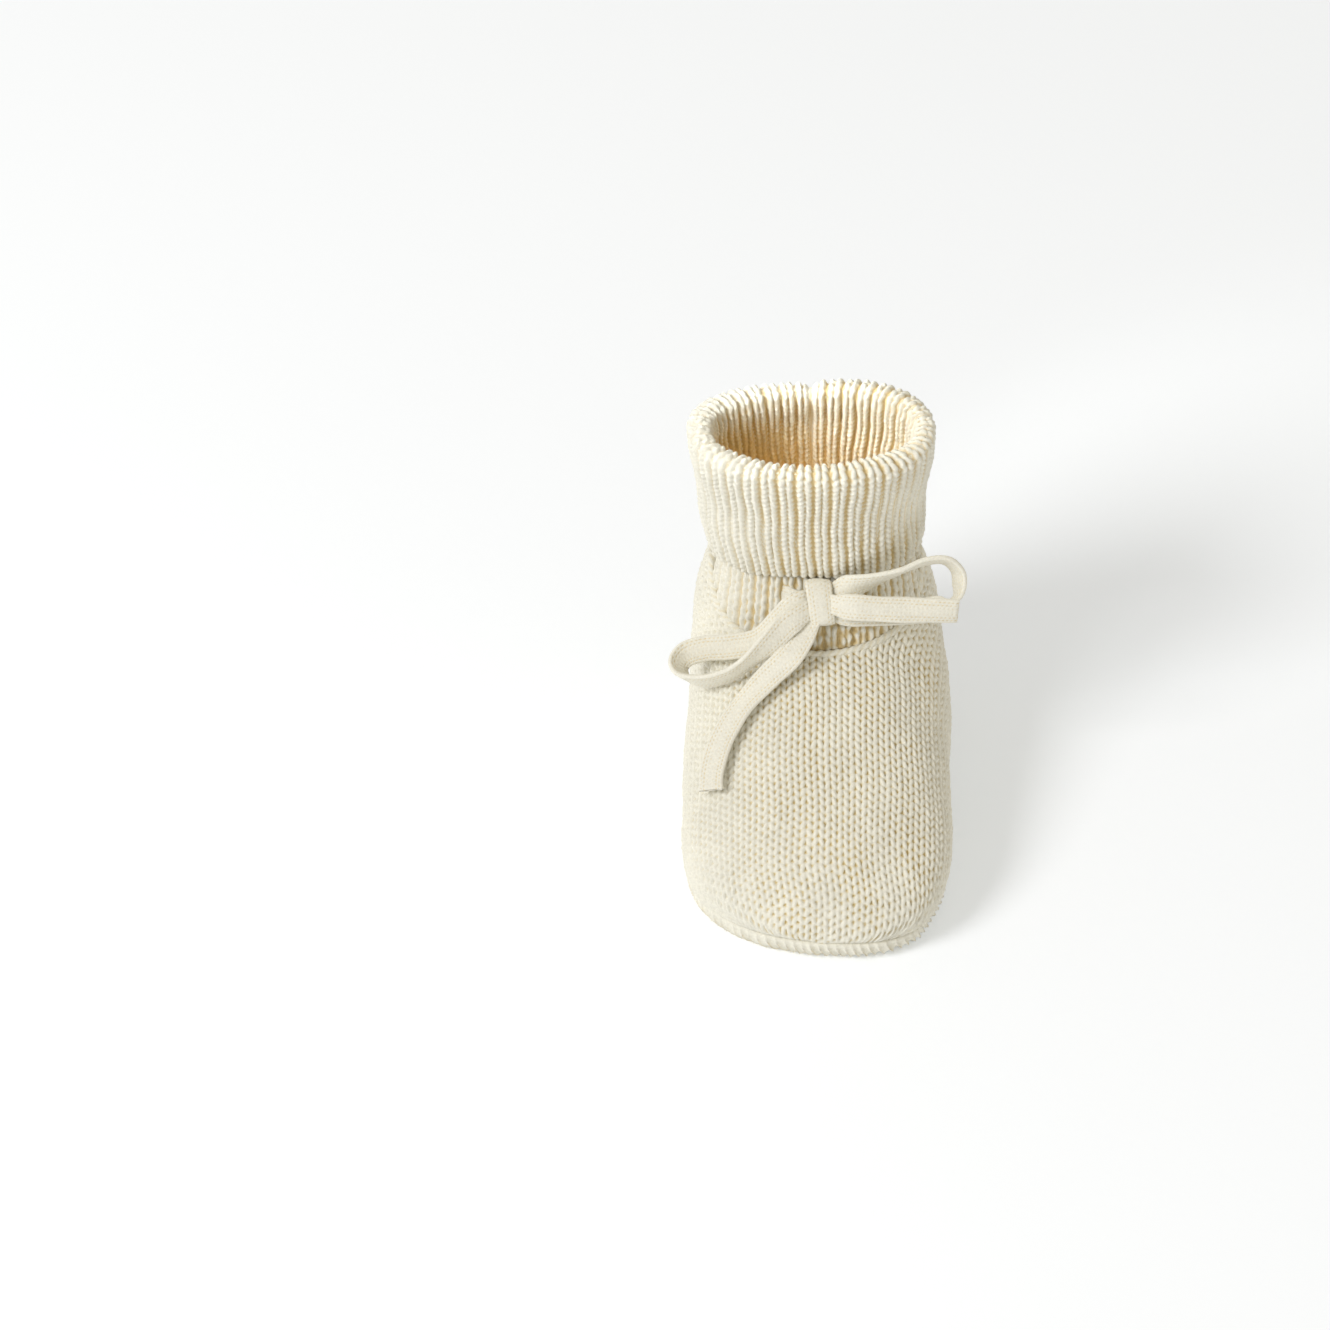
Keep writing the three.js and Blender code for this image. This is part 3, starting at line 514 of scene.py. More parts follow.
def settle(points):
    """The worn shape: the right side is fuller by the instep, and the left flatter by the heel."""
    p = points.copy()
    x, y, z = p[..., 0].copy(), p[..., 1].copy(), p[..., 2]
    right, left = smooth(x / 12), smooth(-x / 12)
    instep = INSTEP_SWELL * bell(y, 9, 11) * smooth((40 - z) / 12)
    toe = TOE_TAPER * x * bell(y, -43, 8)
    heel = HEEL_SINK * bell(y, 38, 10) * smooth((z - 4) / 8) * smooth((43 - z) / 12)
    p[..., 0] += right * (instep - toe) + left * heel + TOE_RIGHT * smooth((-y - 40) / 8)
    p[..., 1] -= TOE_FORWARD * smooth((-y - 36) / 12)
    return p


class FootTable:
    """Sections of the foot, one per row, from the toe's tip to the back of the heel."""

    FRONT, MIDDLE, HEEL, SIDE = 420, 60, 90, 160
    LOW, HIGH = 60, 121             # samples of a section below its widest place and above it

    def __init__(self):
        front = mix(-SOLE_HALF_LENGTH, INSTEP_Y, np.linspace(0, 1, self.FRONT + 1) ** 2)
        crown = crown_height(front)
        steps = np.hypot(np.diff(front), np.diff(crown))
        front_way = np.concatenate([[0], np.cumsum(steps)])
        self.instep_way = front_way[-1]
        self.heel_way = self.instep_way + HEEL_CENTRE_Y - INSTEP_Y
        self.back_way = self.heel_way + TURN_RADIUS * math.pi / 2
        middle = np.linspace(INSTEP_Y, HEEL_CENTRE_Y, self.MIDDLE + 1)[1:]
        angle = np.linspace(0, math.pi / 2, self.HEEL + 1)[1:]
        self.y = np.concatenate([front, middle, np.full(self.HEEL, HEEL_CENTRE_Y)])
        self.angle = np.concatenate([np.zeros(self.FRONT + 1 + self.MIDDLE), angle])
        self.way = np.concatenate([
            front_way, self.instep_way + middle - INSTEP_Y, self.heel_way + TURN_RADIUS * angle,
        ])
        heel_reach = oval_reach(self.angle, HEEL_HALF_WIDTH, SOLE_HALF_LENGTH - HEEL_CENTRE_Y,
                                OUTLINE_ROUNDNESS)
        self.reach = np.where(self.angle > 0, heel_reach, half_width(self.y))
        self.crown = crown_height(self.y) - HEEL_TOP_DROP * smooth(self.angle / (math.pi / 3))
        self.lines()
        self.full_across = self.length[self.FRONT]

    def lines(self):
        """For each section the line from the sole seam up to the crown, evenly divided."""
        widest = mix(SEAM_Z, self.crown, WIDEST_SHARE)[:, None]
        low = np.linspace(0, 1, self.LOW, endpoint=False)[None]
        z_low = mix(SEAM_Z, widest, low)
        d_low = self.reach[:, None] * (1 - TUCK_IN * (1 - low) ** 2)
        angle = np.linspace(0, math.pi / 2, self.HIGH)[None]
        share = np.maximum(np.cos(angle), 0) ** (2 / SECTION_ROUNDNESS)
        d_high = self.reach[:, None] * share
        z_high = mix(widest, self.crown[:, None], super_rest(share, SECTION_ROUNDNESS))
        d = np.concatenate([d_low, d_high], axis=1)
        z = np.concatenate([z_low, z_high], axis=1)
        way = np.cumsum(np.hypot(np.diff(d, axis=1), np.diff(z, axis=1)), axis=1)
        way = np.concatenate([np.zeros((len(d), 1)), way], axis=1)
        self.length = way[:, -1]
        even = np.linspace(0, 1, self.SIDE + 1)
        self.d = np.array([np.interp(even * w[-1], w, row) for w, row in zip(way, d)])
        self.z = np.array([np.interp(even * w[-1], w, row) for w, row in zip(way, z)])

    def sole_across(self, way):
        length = np.interp(way, self.way, self.length)
        return np.where(way >= self.instep_way, self.full_across, length)

    def wale_shift(self, way):
        """How far the wales bend outwards behind the instep, so that none has a kink there."""
        k = self.FRONT
        slope = (self.length[k] - self.length[k - 8]) / (self.way[k] - self.way[k - 8])
        behind = np.maximum(0, way - self.instep_way)
        return WALE_BEND * slope * (1 - np.exp(-behind / WALE_BEND))

    def point(self, way, across, side):
        """The point of the cloth at a way along it and a way across it."""
        way, across = np.broadcast_arrays(way, across)
        row = np.interp(way, self.way, np.arange(len(self.way)))
        length = np.interp(way, self.way, self.length)
        share = np.clip((self.sole_across(way) - across) / np.maximum(length, 1e-6), 0, 1)
        column = share * self.SIDE
        i = np.minimum(row.astype(int), len(self.way) - 2)
        j = np.minimum(column.astype(int), self.SIDE - 1)
        u, v = row - i, column - j

        def look(table):
            top = mix(table[i, j], table[i, j + 1], v)
            return mix(top, mix(table[i + 1, j], table[i + 1, j + 1], v), u)

        d, z = look(self.d), look(self.z)
        y, angle = np.interp(way, self.way, self.y), np.interp(way, self.way, self.angle)
        return self.place(d, z, y, angle, side)

    @staticmethod
    def place(d, z, y, angle, side):
        x = side * d * np.cos(angle)
        y = y + d * np.sin(angle)
        y = y - TOE_SKEW * x * np.clip(-y / SOLE_HALF_LENGTH, 0, 1) ** 2
        return np.stack([x, y, z + 0 * x], axis=-1)

    def ankle_reach(self, way):
        y, angle = np.interp(way, self.way, self.y), np.interp(way, self.way, self.angle)
        front = ANKLE_HALF_WIDTH * super_rest((ANKLE_CENTRE_Y - y) / ANKLE_FRONT, 2)
        heel = oval_reach(angle, ANKLE_HALF_WIDTH, ANKLE_BACK, TUBE_ROUNDNESS)
        return np.where(angle > 0, heel, front)

    def ankle_across(self, way):
        """Where the ankle seam lies across the cloth."""
        reach = self.ankle_reach(way)
        flat_way, flat_reach = np.ravel(way), np.ravel(reach)
        up = np.empty(len(flat_way))
        first = self.SIDE // 4      # above this the line only turns inwards
        columns = np.arange(first, self.SIDE + 1)
        for n, (w, r) in enumerate(zip(flat_way, flat_reach)):
            i = np.interp(w, self.way, np.arange(len(self.way)))
            k = min(int(i), len(self.way) - 2)
            d = mix(self.d[k], self.d[k + 1], i - k)
            length = np.interp(w, self.way, self.length)
            up[n] = np.interp(-r, -d[first:], columns) / self.SIDE * length
        return self.full_across - up.reshape(np.shape(way))


FOOT = FootTable()

# ---- The upper ----

UPPER_STEP = 6
UPPER_HALF = 540
UPPER_ROWS = 180
EDGE_GAP = 0.35                     # the cloth ends this far from the middle of its seams
BACK_GAP = 0.5                      # and of the heel seam
TOE_WAY = 20                        # the part of the way with closer samples


def ankle_way(sole_way):
    end = FOOT.instep_way + SPREAD
    return np.where(sole_way >= end, sole_way, FOOT.instep_way + SPREAD * (sole_way / end) ** 3)


def fine_ways(toe_count, rest_count):
    """Places along the cloth from the toe to the back."""
    toe = np.linspace(0, 1, toe_count) ** 2 * TOE_WAY
    return np.concatenate([toe, np.linspace(TOE_WAY, FOOT.back_way, rest_count)[1:]])


def sole_ways():
    """Places along the cloth, evenly spaced along the sole seam, from the toe to the back."""
    way = fine_ways(400, 1500)
    along = lengths_along(FOOT.point(way, FOOT.sole_across(way), 1))
    return np.interp(np.linspace(0, along[-1] - BACK_GAP, UPPER_HALF + 1), along, way)


def upper_half(side):
    """Half of the cloth's middle, with its cloth coordinates and the distances to its seams."""
    way = sole_ways()
    top = ankle_way(way)
    top_across = FOOT.ankle_across(top)
    bottom_across = FOOT.sole_across(way)
    length = np.hypot(top - way, bottom_across - top_across)
    share = np.linspace(0, 1, UPPER_ROWS + 1)[None]
    share = mix((EDGE_GAP / length)[:, None], (1 - EDGE_GAP / length)[:, None], share)
    along = mix(way[:, None], top[:, None], share)
    across = mix(bottom_across[:, None], top_across[:, None], share)
    return FOOT.point(along, across, side), along, side * across, share * length[:, None], \
        (1 - share) * length[:, None]


def make_upper():
    left = [a[::-1] for a in upper_half(-1)]
    right = upper_half(1)
    joined = [np.concatenate([a[:-1], b]) for a, b in zip(left, right)]
    base, along, across, from_sole, from_top = joined
    normals = grid_normals(base)
    wale = across + np.sign(across) * FOOT.wale_shift(along)
    x = wale / WALE + 0.09 * waves(along, across, 21, 16) + 100.0
    y = along / COURSE + 0.15 * waves(along, across, 22, 14) + 50
    relief = knit(x, y, 23, jitter=0.10)
    edge = np.minimum(smooth(from_sole / 1.2), smooth(from_top / 1.0))
    # Painted shade in the stitches by the ankle seam, in front.
    seam_holes = bell(from_top, 2.6, 2.4) * smooth((70 - along) / 10)
    soft = 0.35 * waves(along, across, 24, 22) + 0.12 * waves(along, across, 25, 5)
    tucked = np.where(from_top < from_sole, 0.1, -0.45)
    lift = mix(tucked, -0.55 + 0.85 * relief, edge) + soft * edge
    outer = settle(base + normals * lift[..., None])
    inner = settle(base - normals * KNIT_THICKNESS)[::UPPER_STEP, ::UPPER_STEP]
    # The gap value paints shade between the yarns, more by the ankle seam, varies a little at
    # random, and is paler on the left, the lit side, as painted light.
    lit_left_paler = 1 - 0.4 * smooth((-base[..., 0] - 8) / 16)
    gap = np.clip(1 - relief * (1 - 0.22 * seam_holes), 0, 1) \
        * (0.85 + 0.15 * waves(along, across, 26, 9)) * lit_left_paler
    return closed_cloth("foot_upper_knit", outer, inner, UPPER_STEP, gap, FOOT_WOOL)


upper = make_upper()

# ---- The ribbed tube with its turned-down cuff ----

# Levels of the tube's outside and of the cuff's: height, y of the middle, half width, half depth.
RIB_LEVELS = np.array([
    [CUFF_BOTTOM_Z, 29.25, 21.3, 14.1], [66, 27.7, 22.1, 13.9], [75, 26.1, 23.1, 13.6],
    [83, 24.6, 24.1, 13.3], [89.3, 23.2, 24.9, 13.05],
])
CUFF_LEVELS = np.array([
    [CUFF_BOTTOM_Z, 29.25, 23.7, 16.5], [66, 27.7, 24.6, 16.4], [75, 26.1, 25.7, 16.15],
    [83, 24.6, 26.8, 15.9], [90.7, 23, 27.7, 15.65],
])
CUFF_MIDDLE = (75, 26.1, 24.7, 15.1)
FOLD_Z, FOLD_Y, FOLD_HALF_WIDTH, FOLD_HALF_DEPTH = 90.7, 23.0, 25.4, 13.35
FOLD_RADIUS = 2.3
FOLD_RISE = 1.45
RIM_BULGE = 1.1                     # the rolled rim swells inwards by this much
FRONT_DIP = 2.0                     # the rim is this much lower in front
BACK_TILT = 0.045                   # the rim rises to the right at the back
HALF_RIB = RIB_THICKNESS / 2
RIB_SAMPLES = 14
LOWER_SHARES = np.linspace(0, 1, 46)[:-1]  # rows of the tube from the ankle seam to the cuff
LOWER_HEIGHT, ANKLE_RADIUS = 19, 24
SIDE_SAG = 1.6                      # the cuff's edge hangs this much lower at the sides
CORNER_SAG = 1.5                    # and between the sides and the front
FRONT_SAG = 1.1                     # and in front
CUFF_LEAN = -1.5                    # the top of the cuff leans this far to the left
CUFF_SHIFT = 0.6                    # and its middle lies this much further to the left
EYELET_TURN = 0.285                 # in radians from the front
EYELET_SHARE = 0.64                 # of the way from the ankle seam to under the cuff
# The eyelets' depth, and the painted shade in them.
EYELET_DEPTH, EYELET_SHADE = 2.1, 2.0
BACK_GROOVE = (0.55, 0.4)           # depth of the back seam, inside and outside


def level_point(z, y, half_wide, half_deep, turn):
    """A point at a level. turn goes once round from the back, over +X, the front and -X."""
    across = signed_power(np.sin(turn), 2 / TUBE_ROUNDNESS)
    along = signed_power(np.cos(turn), 2 / TUBE_ROUNDNESS)
    shape = np.broadcast_shapes(np.shape(z), np.shape(turn))
    return np.stack([
        np.broadcast_to(half_wide * across, shape),
        np.broadcast_to(y + half_deep * along, shape),
        np.broadcast_to(z, shape),
    ], axis=-1)


def outwards_at(turn):
    half_depth = (ANKLE_FRONT + ANKLE_BACK) / 2
    return unit(level_point(0, 0, ANKLE_HALF_WIDTH, half_depth, turn))


def at_level(levels, z):
    return (np.interp(z, levels[:, 0], levels[:, k]) for k in (1, 2, 3))


def tube_turns():
    """Turns of the columns, evenly spaced round the cuff's middle."""
    fine = np.linspace(0, 2 * math.pi, 2881)
    way = lengths_along(level_point(*CUFF_MIDDLE, fine))
    count = RIBS * RIB_SAMPLES
    return np.interp(np.arange(count) / count * way[-1], way, fine)


def ankle_seam_line(turn):
    """The ankle seam's point on the foot, at each turn round the tube."""
    from_front = np.abs(np.pi - turn)
    across = np.abs(np.sin(from_front)) ** (2 / TUBE_ROUNDNESS)
    along = np.abs(np.cos(from_front)) ** (2 / TUBE_ROUNDNESS)
    front = FOOT.instep_way + ANKLE_FRONT * (1 - super_rest(across, 2))
    heel = FOOT.heel_way + TURN_RADIUS * np.arctan2(ANKLE_BACK * along, ANKLE_HALF_WIDTH * across)
    way = np.where(from_front <= math.pi / 2, front, heel)
    side = np.where(turn < math.pi, 1, -1)
    return FOOT.point(way, FOOT.ankle_across(way), side)


def tube_rows(turn):
    """Rows of the cloth's middle: the tube, the fold, the cuff. Each row is one point a column."""
    seam, outwards = ankle_seam_line(turn), outwards_at(turn)
    under_cuff = level_point(*RIB_LEVELS[0], turn)
    in_front = smooth(-np.cos(turn))
    bulge = RIM_BULGE * (1 - 0.5 * in_front + 1.3 * in_front * np.sin(2 * turn) ** 2)
    lower = [mix(seam, under_cuff, s) - outwards * HALF_RIB for s in LOWER_SHARES]
    tube = []
    for z in np.linspace(RIB_LEVELS[0, 0], RIB_LEVELS[-1, 0], 86)[:-1]:
        y, wide, deep = at_level(RIB_LEVELS, z)
        inset = HALF_RIB + bulge * smooth((z - 79) / 10)
        tube.append(level_point(z, y, wide - inset, deep - inset, turn))
    fold = []
    outer = FOLD_RADIUS - HALF_RIB
    for angle in np.linspace(math.pi, 0, 27)[:-1]:
        wider = mix(-outer - bulge, outer, (1 + math.cos(angle)) / 2)
        z = FOLD_Z + FOLD_RISE * math.sin(angle)
        fold.append(level_point(z, FOLD_Y, FOLD_HALF_WIDTH + wider, FOLD_HALF_DEPTH + wider, turn))
    cuff = []
    sag = SIDE_SAG * np.sin(turn) ** 4 + CORNER_SAG * np.sin(2 * turn) ** 2 \
        + FRONT_SAG * in_front ** 4
    for z in np.linspace(CUFF_LEVELS[-1, 0], CUFF_LEVELS[0, 0], 105):
        y, wide, deep = at_level(CUFF_LEVELS, z)
        low = smooth((75 - z) / 17.5)
        inset = HALF_RIB - 0.4 * low - 0.3 * bell(z, 82, 8) - 0.8 * bell(z, 66, 8)
        row = level_point(z, y, wide - inset, deep - inset, turn)
        row[:, 2] -= low * sag
        cuff.append(row)
    parts = [lower, tube, fold, cuff]
    return np.stack([row for part in parts for row in part], axis=1), [len(p) for p in parts]


def make_tube():
    turn = tube_turns()
    middle, counts = tube_rows(turn)
    tube_from, fold_from, cuff_from = np.cumsum(counts[:3]).tolist()
    total = middle.shape[1]
    height = middle[..., 2]         # follows the changes below
    # Painted shade inside the tube: more the lower it lies, and most on the left wall, which the
    # light doesn't reach.
    inside_shade = smooth((88 - height) / 14) * (0.25 + 0.75 * smooth((4 - middle[..., 0]) / 20))
    middle[..., 2] -= FRONT_DIP * smooth(-np.cos(turn))[:, None] * smooth((height - 66) / 24)
    middle[..., 2] += BACK_TILT * middle[..., 0] * smooth(np.cos(turn))[:, None] \
        * smooth((height - 76) / 12)
    middle[..., 0] += CUFF_LEAN * smooth((height - 48) / 45) - CUFF_SHIFT * bell(height, 68, 9)
    inward = grid_normals(middle, wrap_i=True)

    # Places in the cloth, and its unevenness.
    way = np.cumsum(np.linalg.norm(np.diff(middle, axis=1), axis=2), axis=1)
    way = np.concatenate([np.zeros((len(turn), 1)), way], axis=1)
    from_edge = way[:, -1:] - way
    edge = np.minimum(smooth((from_edge + 0.6) / 1.2), smooth((way + 0.9) / 1.2))
    column = np.arange(len(turn))[:, None] / RIB_SAMPLES
    around = column * RIB_WIDTH
    side_wave = 0.038 * waves(around, way, 31, 11) + 0.03 * waves(around, way, 32, 4)
    rows = (way.mean(axis=0)[None] + 0.3 * waves(around, way, 33, 12)) / RIB_COURSE + 30
    body = 0.35 * waves(around, way, 34, 20)

    share = np.full(total, 9.0)     # above the eyelets
    share[:tube_from] = LOWER_SHARES
    aside = (np.abs(turn - math.pi) - EYELET_TURN) * ANKLE_RADIUS
    above = (share - EYELET_SHARE) * LOWER_HEIGHT
    eyelet = np.exp(-(aside[:, None] ** 2 + above ** 2) / 1.6)

    # Each face's relief, and its gap value: painted shade between the ribs and in the eyelets.
    def face(offset, seed):
        relief = rib_relief(column + side_wave + offset, rows, seed)
        return relief, np.clip(1 - relief, 0, 1) + EYELET_SHADE * eyelet

    # The face inside the ankle, which shows on the cuff, and the other one.
    shown, shown_gap = face(0.0, 35)
    other, other_gap = face(0.5, 36)
    # Holes by the ankle seam in front: sunk into the outside face, with painted shade in them.
    seam_holes = smooth((8.5 - way) / 4) * smooth(-np.cos(turn) * 2 - 1)[:, None] \
        * smooth(0.5 + 1.2 * waves(around, way, 37, 1.7))
    seam_holes[:, tube_from:] = 0
    # Painted light and shade in the gap values: paler on the left, the lit side; darker in the
    # seam holes and inside the tube.
    lit_left_paler = 1 - 0.4 * smooth((-middle[..., 0] - 5) / 14)
    other_gap = (other_gap + 0.55 * seam_holes) * lit_left_paler
    shown_gap[:, :fold_from] += 0.8 * inside_shade[:, :fold_from]
    shown_gap[:, fold_from:] *= lit_left_paler[:, fold_from:]
    back_seam = np.exp(-((column + RIBS / 2) % RIBS - RIBS / 2) ** 2 / 0.16)
    up_shown = mix(0.25, -0.1 + 1.2 * shown, edge) - BACK_GROOVE[0] * back_seam + body
    up_other = mix(0.1, -0.2 + 1.2 * other, edge) - BACK_GROOVE[1] * back_seam - body \
        - EYELET_DEPTH * eyelet - 0.45 * seam_holes
    top = way[:, (fold_from + cuff_from) // 2][:, None]
    middle[..., 2] -= 0.9 * back_seam * bell(way, top, 5.0)
    inside = middle + inward * up_shown[..., None]
    outside = middle - inward * up_other[..., None]

    # Between the tube and the cuff the other face is hidden, so it is plain and has fewer rows.
    hidden_from, hidden_to = tube_from + 8, total - 14
    outside[:, hidden_from:hidden_to] = middle[:, hidden_from:hidden_to]
    kept = [*range(hidden_from), *range(hidden_from, fold_from, 12),
            *range(fold_from, cuff_from, 6),
            *range(cuff_from, hidden_to, 12), *range(hidden_to, total)]
    loop = np.concatenate([inside[:, ::-1], outside[:, kept]], axis=1)
    gap = np.concatenate([shown_gap[:, ::-1], other_gap[:, kept]], axis=1)
    index = np.arange(loop.shape[0] * loop.shape[1]).reshape(loop.shape[:2])
    faces = grid_quads(index, wrap_i=True, wrap_j=True)
    return make_object("ribbed_tube_knit", loop.reshape(-1, 3), faces.tolist(), gap.ravel(),
                       RIB_WOOL)


tube = make_tube()

# ---- The sole ----

SOLE_AROUND = 1080
EDGE_STITCH = 1.95
STUB_HEIGHT = 1.2                   # of the stitches that show along the sole's edge
# The sole's edge in section, down from the seam: distance in from the outline, and height.
SOLE_EDGE = np.array([
    [1.5, 4.7], [0.75, 4.75], [0.1, 4.5], [-0.25, 4.0], [-0.4, 3.4], [-0.4, 2.8], [-0.25, 2.2],
    [0.0, 1.7], [0.45, 1.15], [1.0, 0.7], [1.8, 0.3], [2.7, 0.08], [3.6, 0.0],
])
SOLE_INSIDE = ((3.2, 4.4), (2.6, 3.4), (3.6, 2.4), (5.0, 2.1))


def sole_outline():
    """The outline of the sole, evenly spaced, with the way round it and its whole length."""
    way = fine_ways(300, 900)
    y, angle = np.interp(way, FOOT.way, FOOT.y), np.interp(way, FOOT.way, FOOT.angle)
    reach = np.interp(way, FOOT.way, FOOT.reach) * (1 - TUCK_IN)
    right = FOOT.place(reach, 0, y, angle, 1)
    left = FOOT.place(reach, 0, y, angle, -1)
    line = np.concatenate([left[::-1], right[1:-1]])
    line = np.concatenate([line, line[:1]])
    along = lengths_along(line)
    even = np.arange(SOLE_AROUND) / SOLE_AROUND * along[-1]
    return read_line(even, along, line), even, along[-1]


def inwards_of(line):
    """The level direction into a closed outline, at each of its points."""
    tangent = unit(np.roll(line, -1, 0) - np.roll(line, 1, 0))
    return np.stack([-tangent[:, 1], tangent[:, 0], 0 * tangent[:, 0]], axis=1)


def make_sole():
    line, even, around = sole_outline()
    inwards = inwards_of(line)
    way = lengths_along(SOLE_EDGE)
    fine = np.linspace(0, way[-1], 26)
    inset, z = np.interp(fine, way, SOLE_EDGE[:, 0]), np.interp(fine, way, SOLE_EDGE[:, 1])
    edge = line[:, None] + inwards[:, None] * inset[None, :, None]
    edge = edge + np.array([0, 0, 1.0]) * z[None, :, None]
    count = round(around / EDGE_STITCH)
    phase = even[:, None] / around * count + 0.26 * z[None] \
        + 0.2 * waves(even, even * 0, 41, 7)[:, None]
    across = phase - np.floor(phase) - 0.5
    stub = np.sqrt(np.maximum(0, 1 - (across / 0.52) ** 2)) * smooth((5.0 - z) / 1.2)[None] \
        * smooth((z + 0.5) / 1.5)[None]
    out = grid_normals(edge, wrap_i=True)
    uneven = 1 + 0.25 * stitch_random(np.floor(phase), np.floor(phase) * 0, 44)
    edge = edge + out * (STUB_HEIGHT * stub * uneven - 0.5)[..., None]
    edge[..., 2] = np.maximum(edge[..., 2], 0)
    # The gap values paint shade between the edge's stitches, less of it by the seam, and between
    # the underside's stitches below.
    rings, gaps = [edge], [np.clip(1 - stub, 0, 1) * (0.2 + 0.8 * smooth((4.3 - z) / 1.2))]
    middle = np.zeros(3)
    border = line + inwards * SOLE_EDGE[-1, 0]
    for share in np.linspace(0, 1, 26)[1:-1]:
        ring = mix(border, middle, share)
        x, y = ring[:, 0], ring[:, 1]
        relief = knit(x / WALE + 80.5, y / COURSE + 60, 43)
        ring[:, 2] = 0.45 * (1 - relief)
        rings.append(ring[:, None])
        gaps.append(np.clip(1 - relief, 0, 1)[:, None])
    under = np.concatenate(rings, axis=1)
    last_inset, top_z = SOLE_INSIDE[-1]
    top_rings = [line + inwards * inset + [0, 0, z] for inset, z in SOLE_INSIDE]
    top_rings.append(mix(line + inwards * last_inset, middle, 0.5) + [0, 0, top_z])
    top = np.stack(top_rings[::-1], axis=1)
    grid = np.concatenate([top, under], axis=1)
    gap = np.concatenate([np.full(top.shape[:2], PLAIN_GAP)] + gaps, axis=1)
    index = np.arange(grid.shape[0] * grid.shape[1]).reshape(grid.shape[:2])
    faces = grid_quads(index, wrap_i=True).tolist()
    upper_pole, lower_pole = index.size, index.size + 1
    for i in range(SOLE_AROUND):
        k = (i + 1) % SOLE_AROUND
        faces.append([int(index[k, 0]), int(index[i, 0]), upper_pole])
        faces.append([int(index[i, -1]), int(index[k, -1]), lower_pole])
    points = np.concatenate([grid.reshape(-1, 3), [[0, 0, top_z], [0, 0, 0.1]]])
    gap = np.append(gap.ravel(), [PLAIN_GAP, PLAIN_GAP])
    return make_object("sole_knit", settle(points), faces, gap, FOOT_WOOL)


sole = make_sole()

# ---- The seams ----

def seam_cord(name, line, radius, pitch, deep=0.22):
    """A seam: a yarn wound round the two edges that it joins."""
    way = lengths_along(line)
    even = np.linspace(0, way[-1], int(way[-1] / (pitch / 6)))
    line = read_line(even, way, line)
    tangent = unit(np.gradient(line, axis=0))
    side = unit(np.cross(tangent, np.array([0.0, 0.0, 1.0]) + 1e-3))
    up = np.cross(side, tangent)
    turn = 2 * math.pi * np.arange(14)[None] / 14
    wind = np.cos(2 * turn - 2 * math.pi * even[:, None] / pitch)
    r = radius * (1 + deep * wind)
    rings = line[:, None] + side[:, None] * (r * np.cos(turn))[..., None] \
        + up[:, None] * (r * np.sin(turn))[..., None]
    # Painted shade where the wound yarn sinks.
    return capped_tube(name, rings, 0.35 - 0.35 * wind, SEAM_WOOL)


def sole_seam_line():
    line, _, _ = sole_outline()
    line = line + inwards_of(line) * 1.0 + [0, 0, 4.7]
    return settle(np.concatenate([line, line[:1]]))


def ankle_seam_cord():
    turn = np.linspace(0.02, 2 * math.pi - 0.02, 400)
    return ankle_seam_line(turn) - outwards_at(turn) * 0.1 - [0, 0, 0.2]


def heel_seam_line():
    top = float(FOOT.ankle_across(FOOT.back_way))
    across = np.linspace(FOOT.full_across - 0.5, top + 0.5, 60)
    return FOOT.point(FOOT.back_way, across, 1) - [0, 0.75, 0]


sole_seam = seam_cord("sole_seam_yarn", sole_seam_line(), 0.45, 1.74)
ankle_seam = seam_cord("ankle_seam_yarn", ankle_seam_cord(), 0.75, 1.9, deep=0.15)
heel_seam = seam_cord("heel_seam_yarn", heel_seam_line(), 0.5, 1.7)

# ---- The knot and the band ----

KNOT_CENTRE = np.array([0.7, 8.1, 52.95])
KNOT_HALF_HEIGHT, KNOT_HALF_DEPTH, KNOT_LEAN = 4.5, 2.2, 0.13
KNOT_STITCH = 0.22                  # relief of the stitches on the knot
FACING = np.array([0, -0.79, 0.61])
RISE = np.array([0, 0.61, 0.79])


def make_knot():
    """A length of the tape, wound once round the other strands."""
    turn = np.linspace(0, 2 * math.pi, 130, endpoint=False)
    up = KNOT_HALF_HEIGHT * signed_power(np.cos(turn), 0.9)
    out = KNOT_HALF_DEPTH * signed_power(np.sin(turn), 0.85)
    line = KNOT_CENTRE + RISE * up[:, None] + FACING * out[:, None]
    line[:, 0] -= KNOT_LEAN * up
    tangent = unit(np.roll(line, -1, 0) - np.roll(line, 1, 0))
    wide = unit(np.array([1.0, 0, 0]) - tangent[:, :1] * tangent)
    flat = np.cross(tangent, wide)
    a = 2 * math.pi * (np.arange(TAPE_AROUND) + 0.5) / TAPE_AROUND
    x, z = signed_power(np.cos(a), SQUARE_ACROSS), signed_power(np.sin(a), 0.7)
    half = 2.85 + 0.15 * np.cos(turn)
    across = half[:, None] * x[None]
    relief = tape_relief(across, lengths_along(line)[:, None], 51)
    depth = 0.8 * z[None] * (1 - 0.25 * x[None] ** 2) \
        + np.sign(z)[None] * KNOT_STITCH * (relief - 0.7)
    rings = line[:, None] + wide[:, None] * across[..., None] - flat[:, None] * depth[..., None]
    index = np.arange(rings.shape[0] * TAPE_AROUND).reshape(rings.shape[:2])
    faces = grid_quads(index, wrap_i=True, wrap_j=True)[:, ::-1]
    # Painted shade between the tape's stitches.
    return make_object("tie_knot_tape", rings.reshape(-1, 3), faces.tolist(),
                       np.clip(1 - relief, 0, 1).ravel(), TAPE_WOOL)


knot = make_knot()

TIE_SHARE = 0.6                     # the band's middle, on the way from the seam to the cuff
BAND_OUTSIDE = 0.9                  # in front of the rib, beside the knot
BAND_INSIDE = 3.0                   # behind the rib, all the way round
BAND_ENTERS, BAND_ENTERED = 0.14, 0.37  # in radians from the front


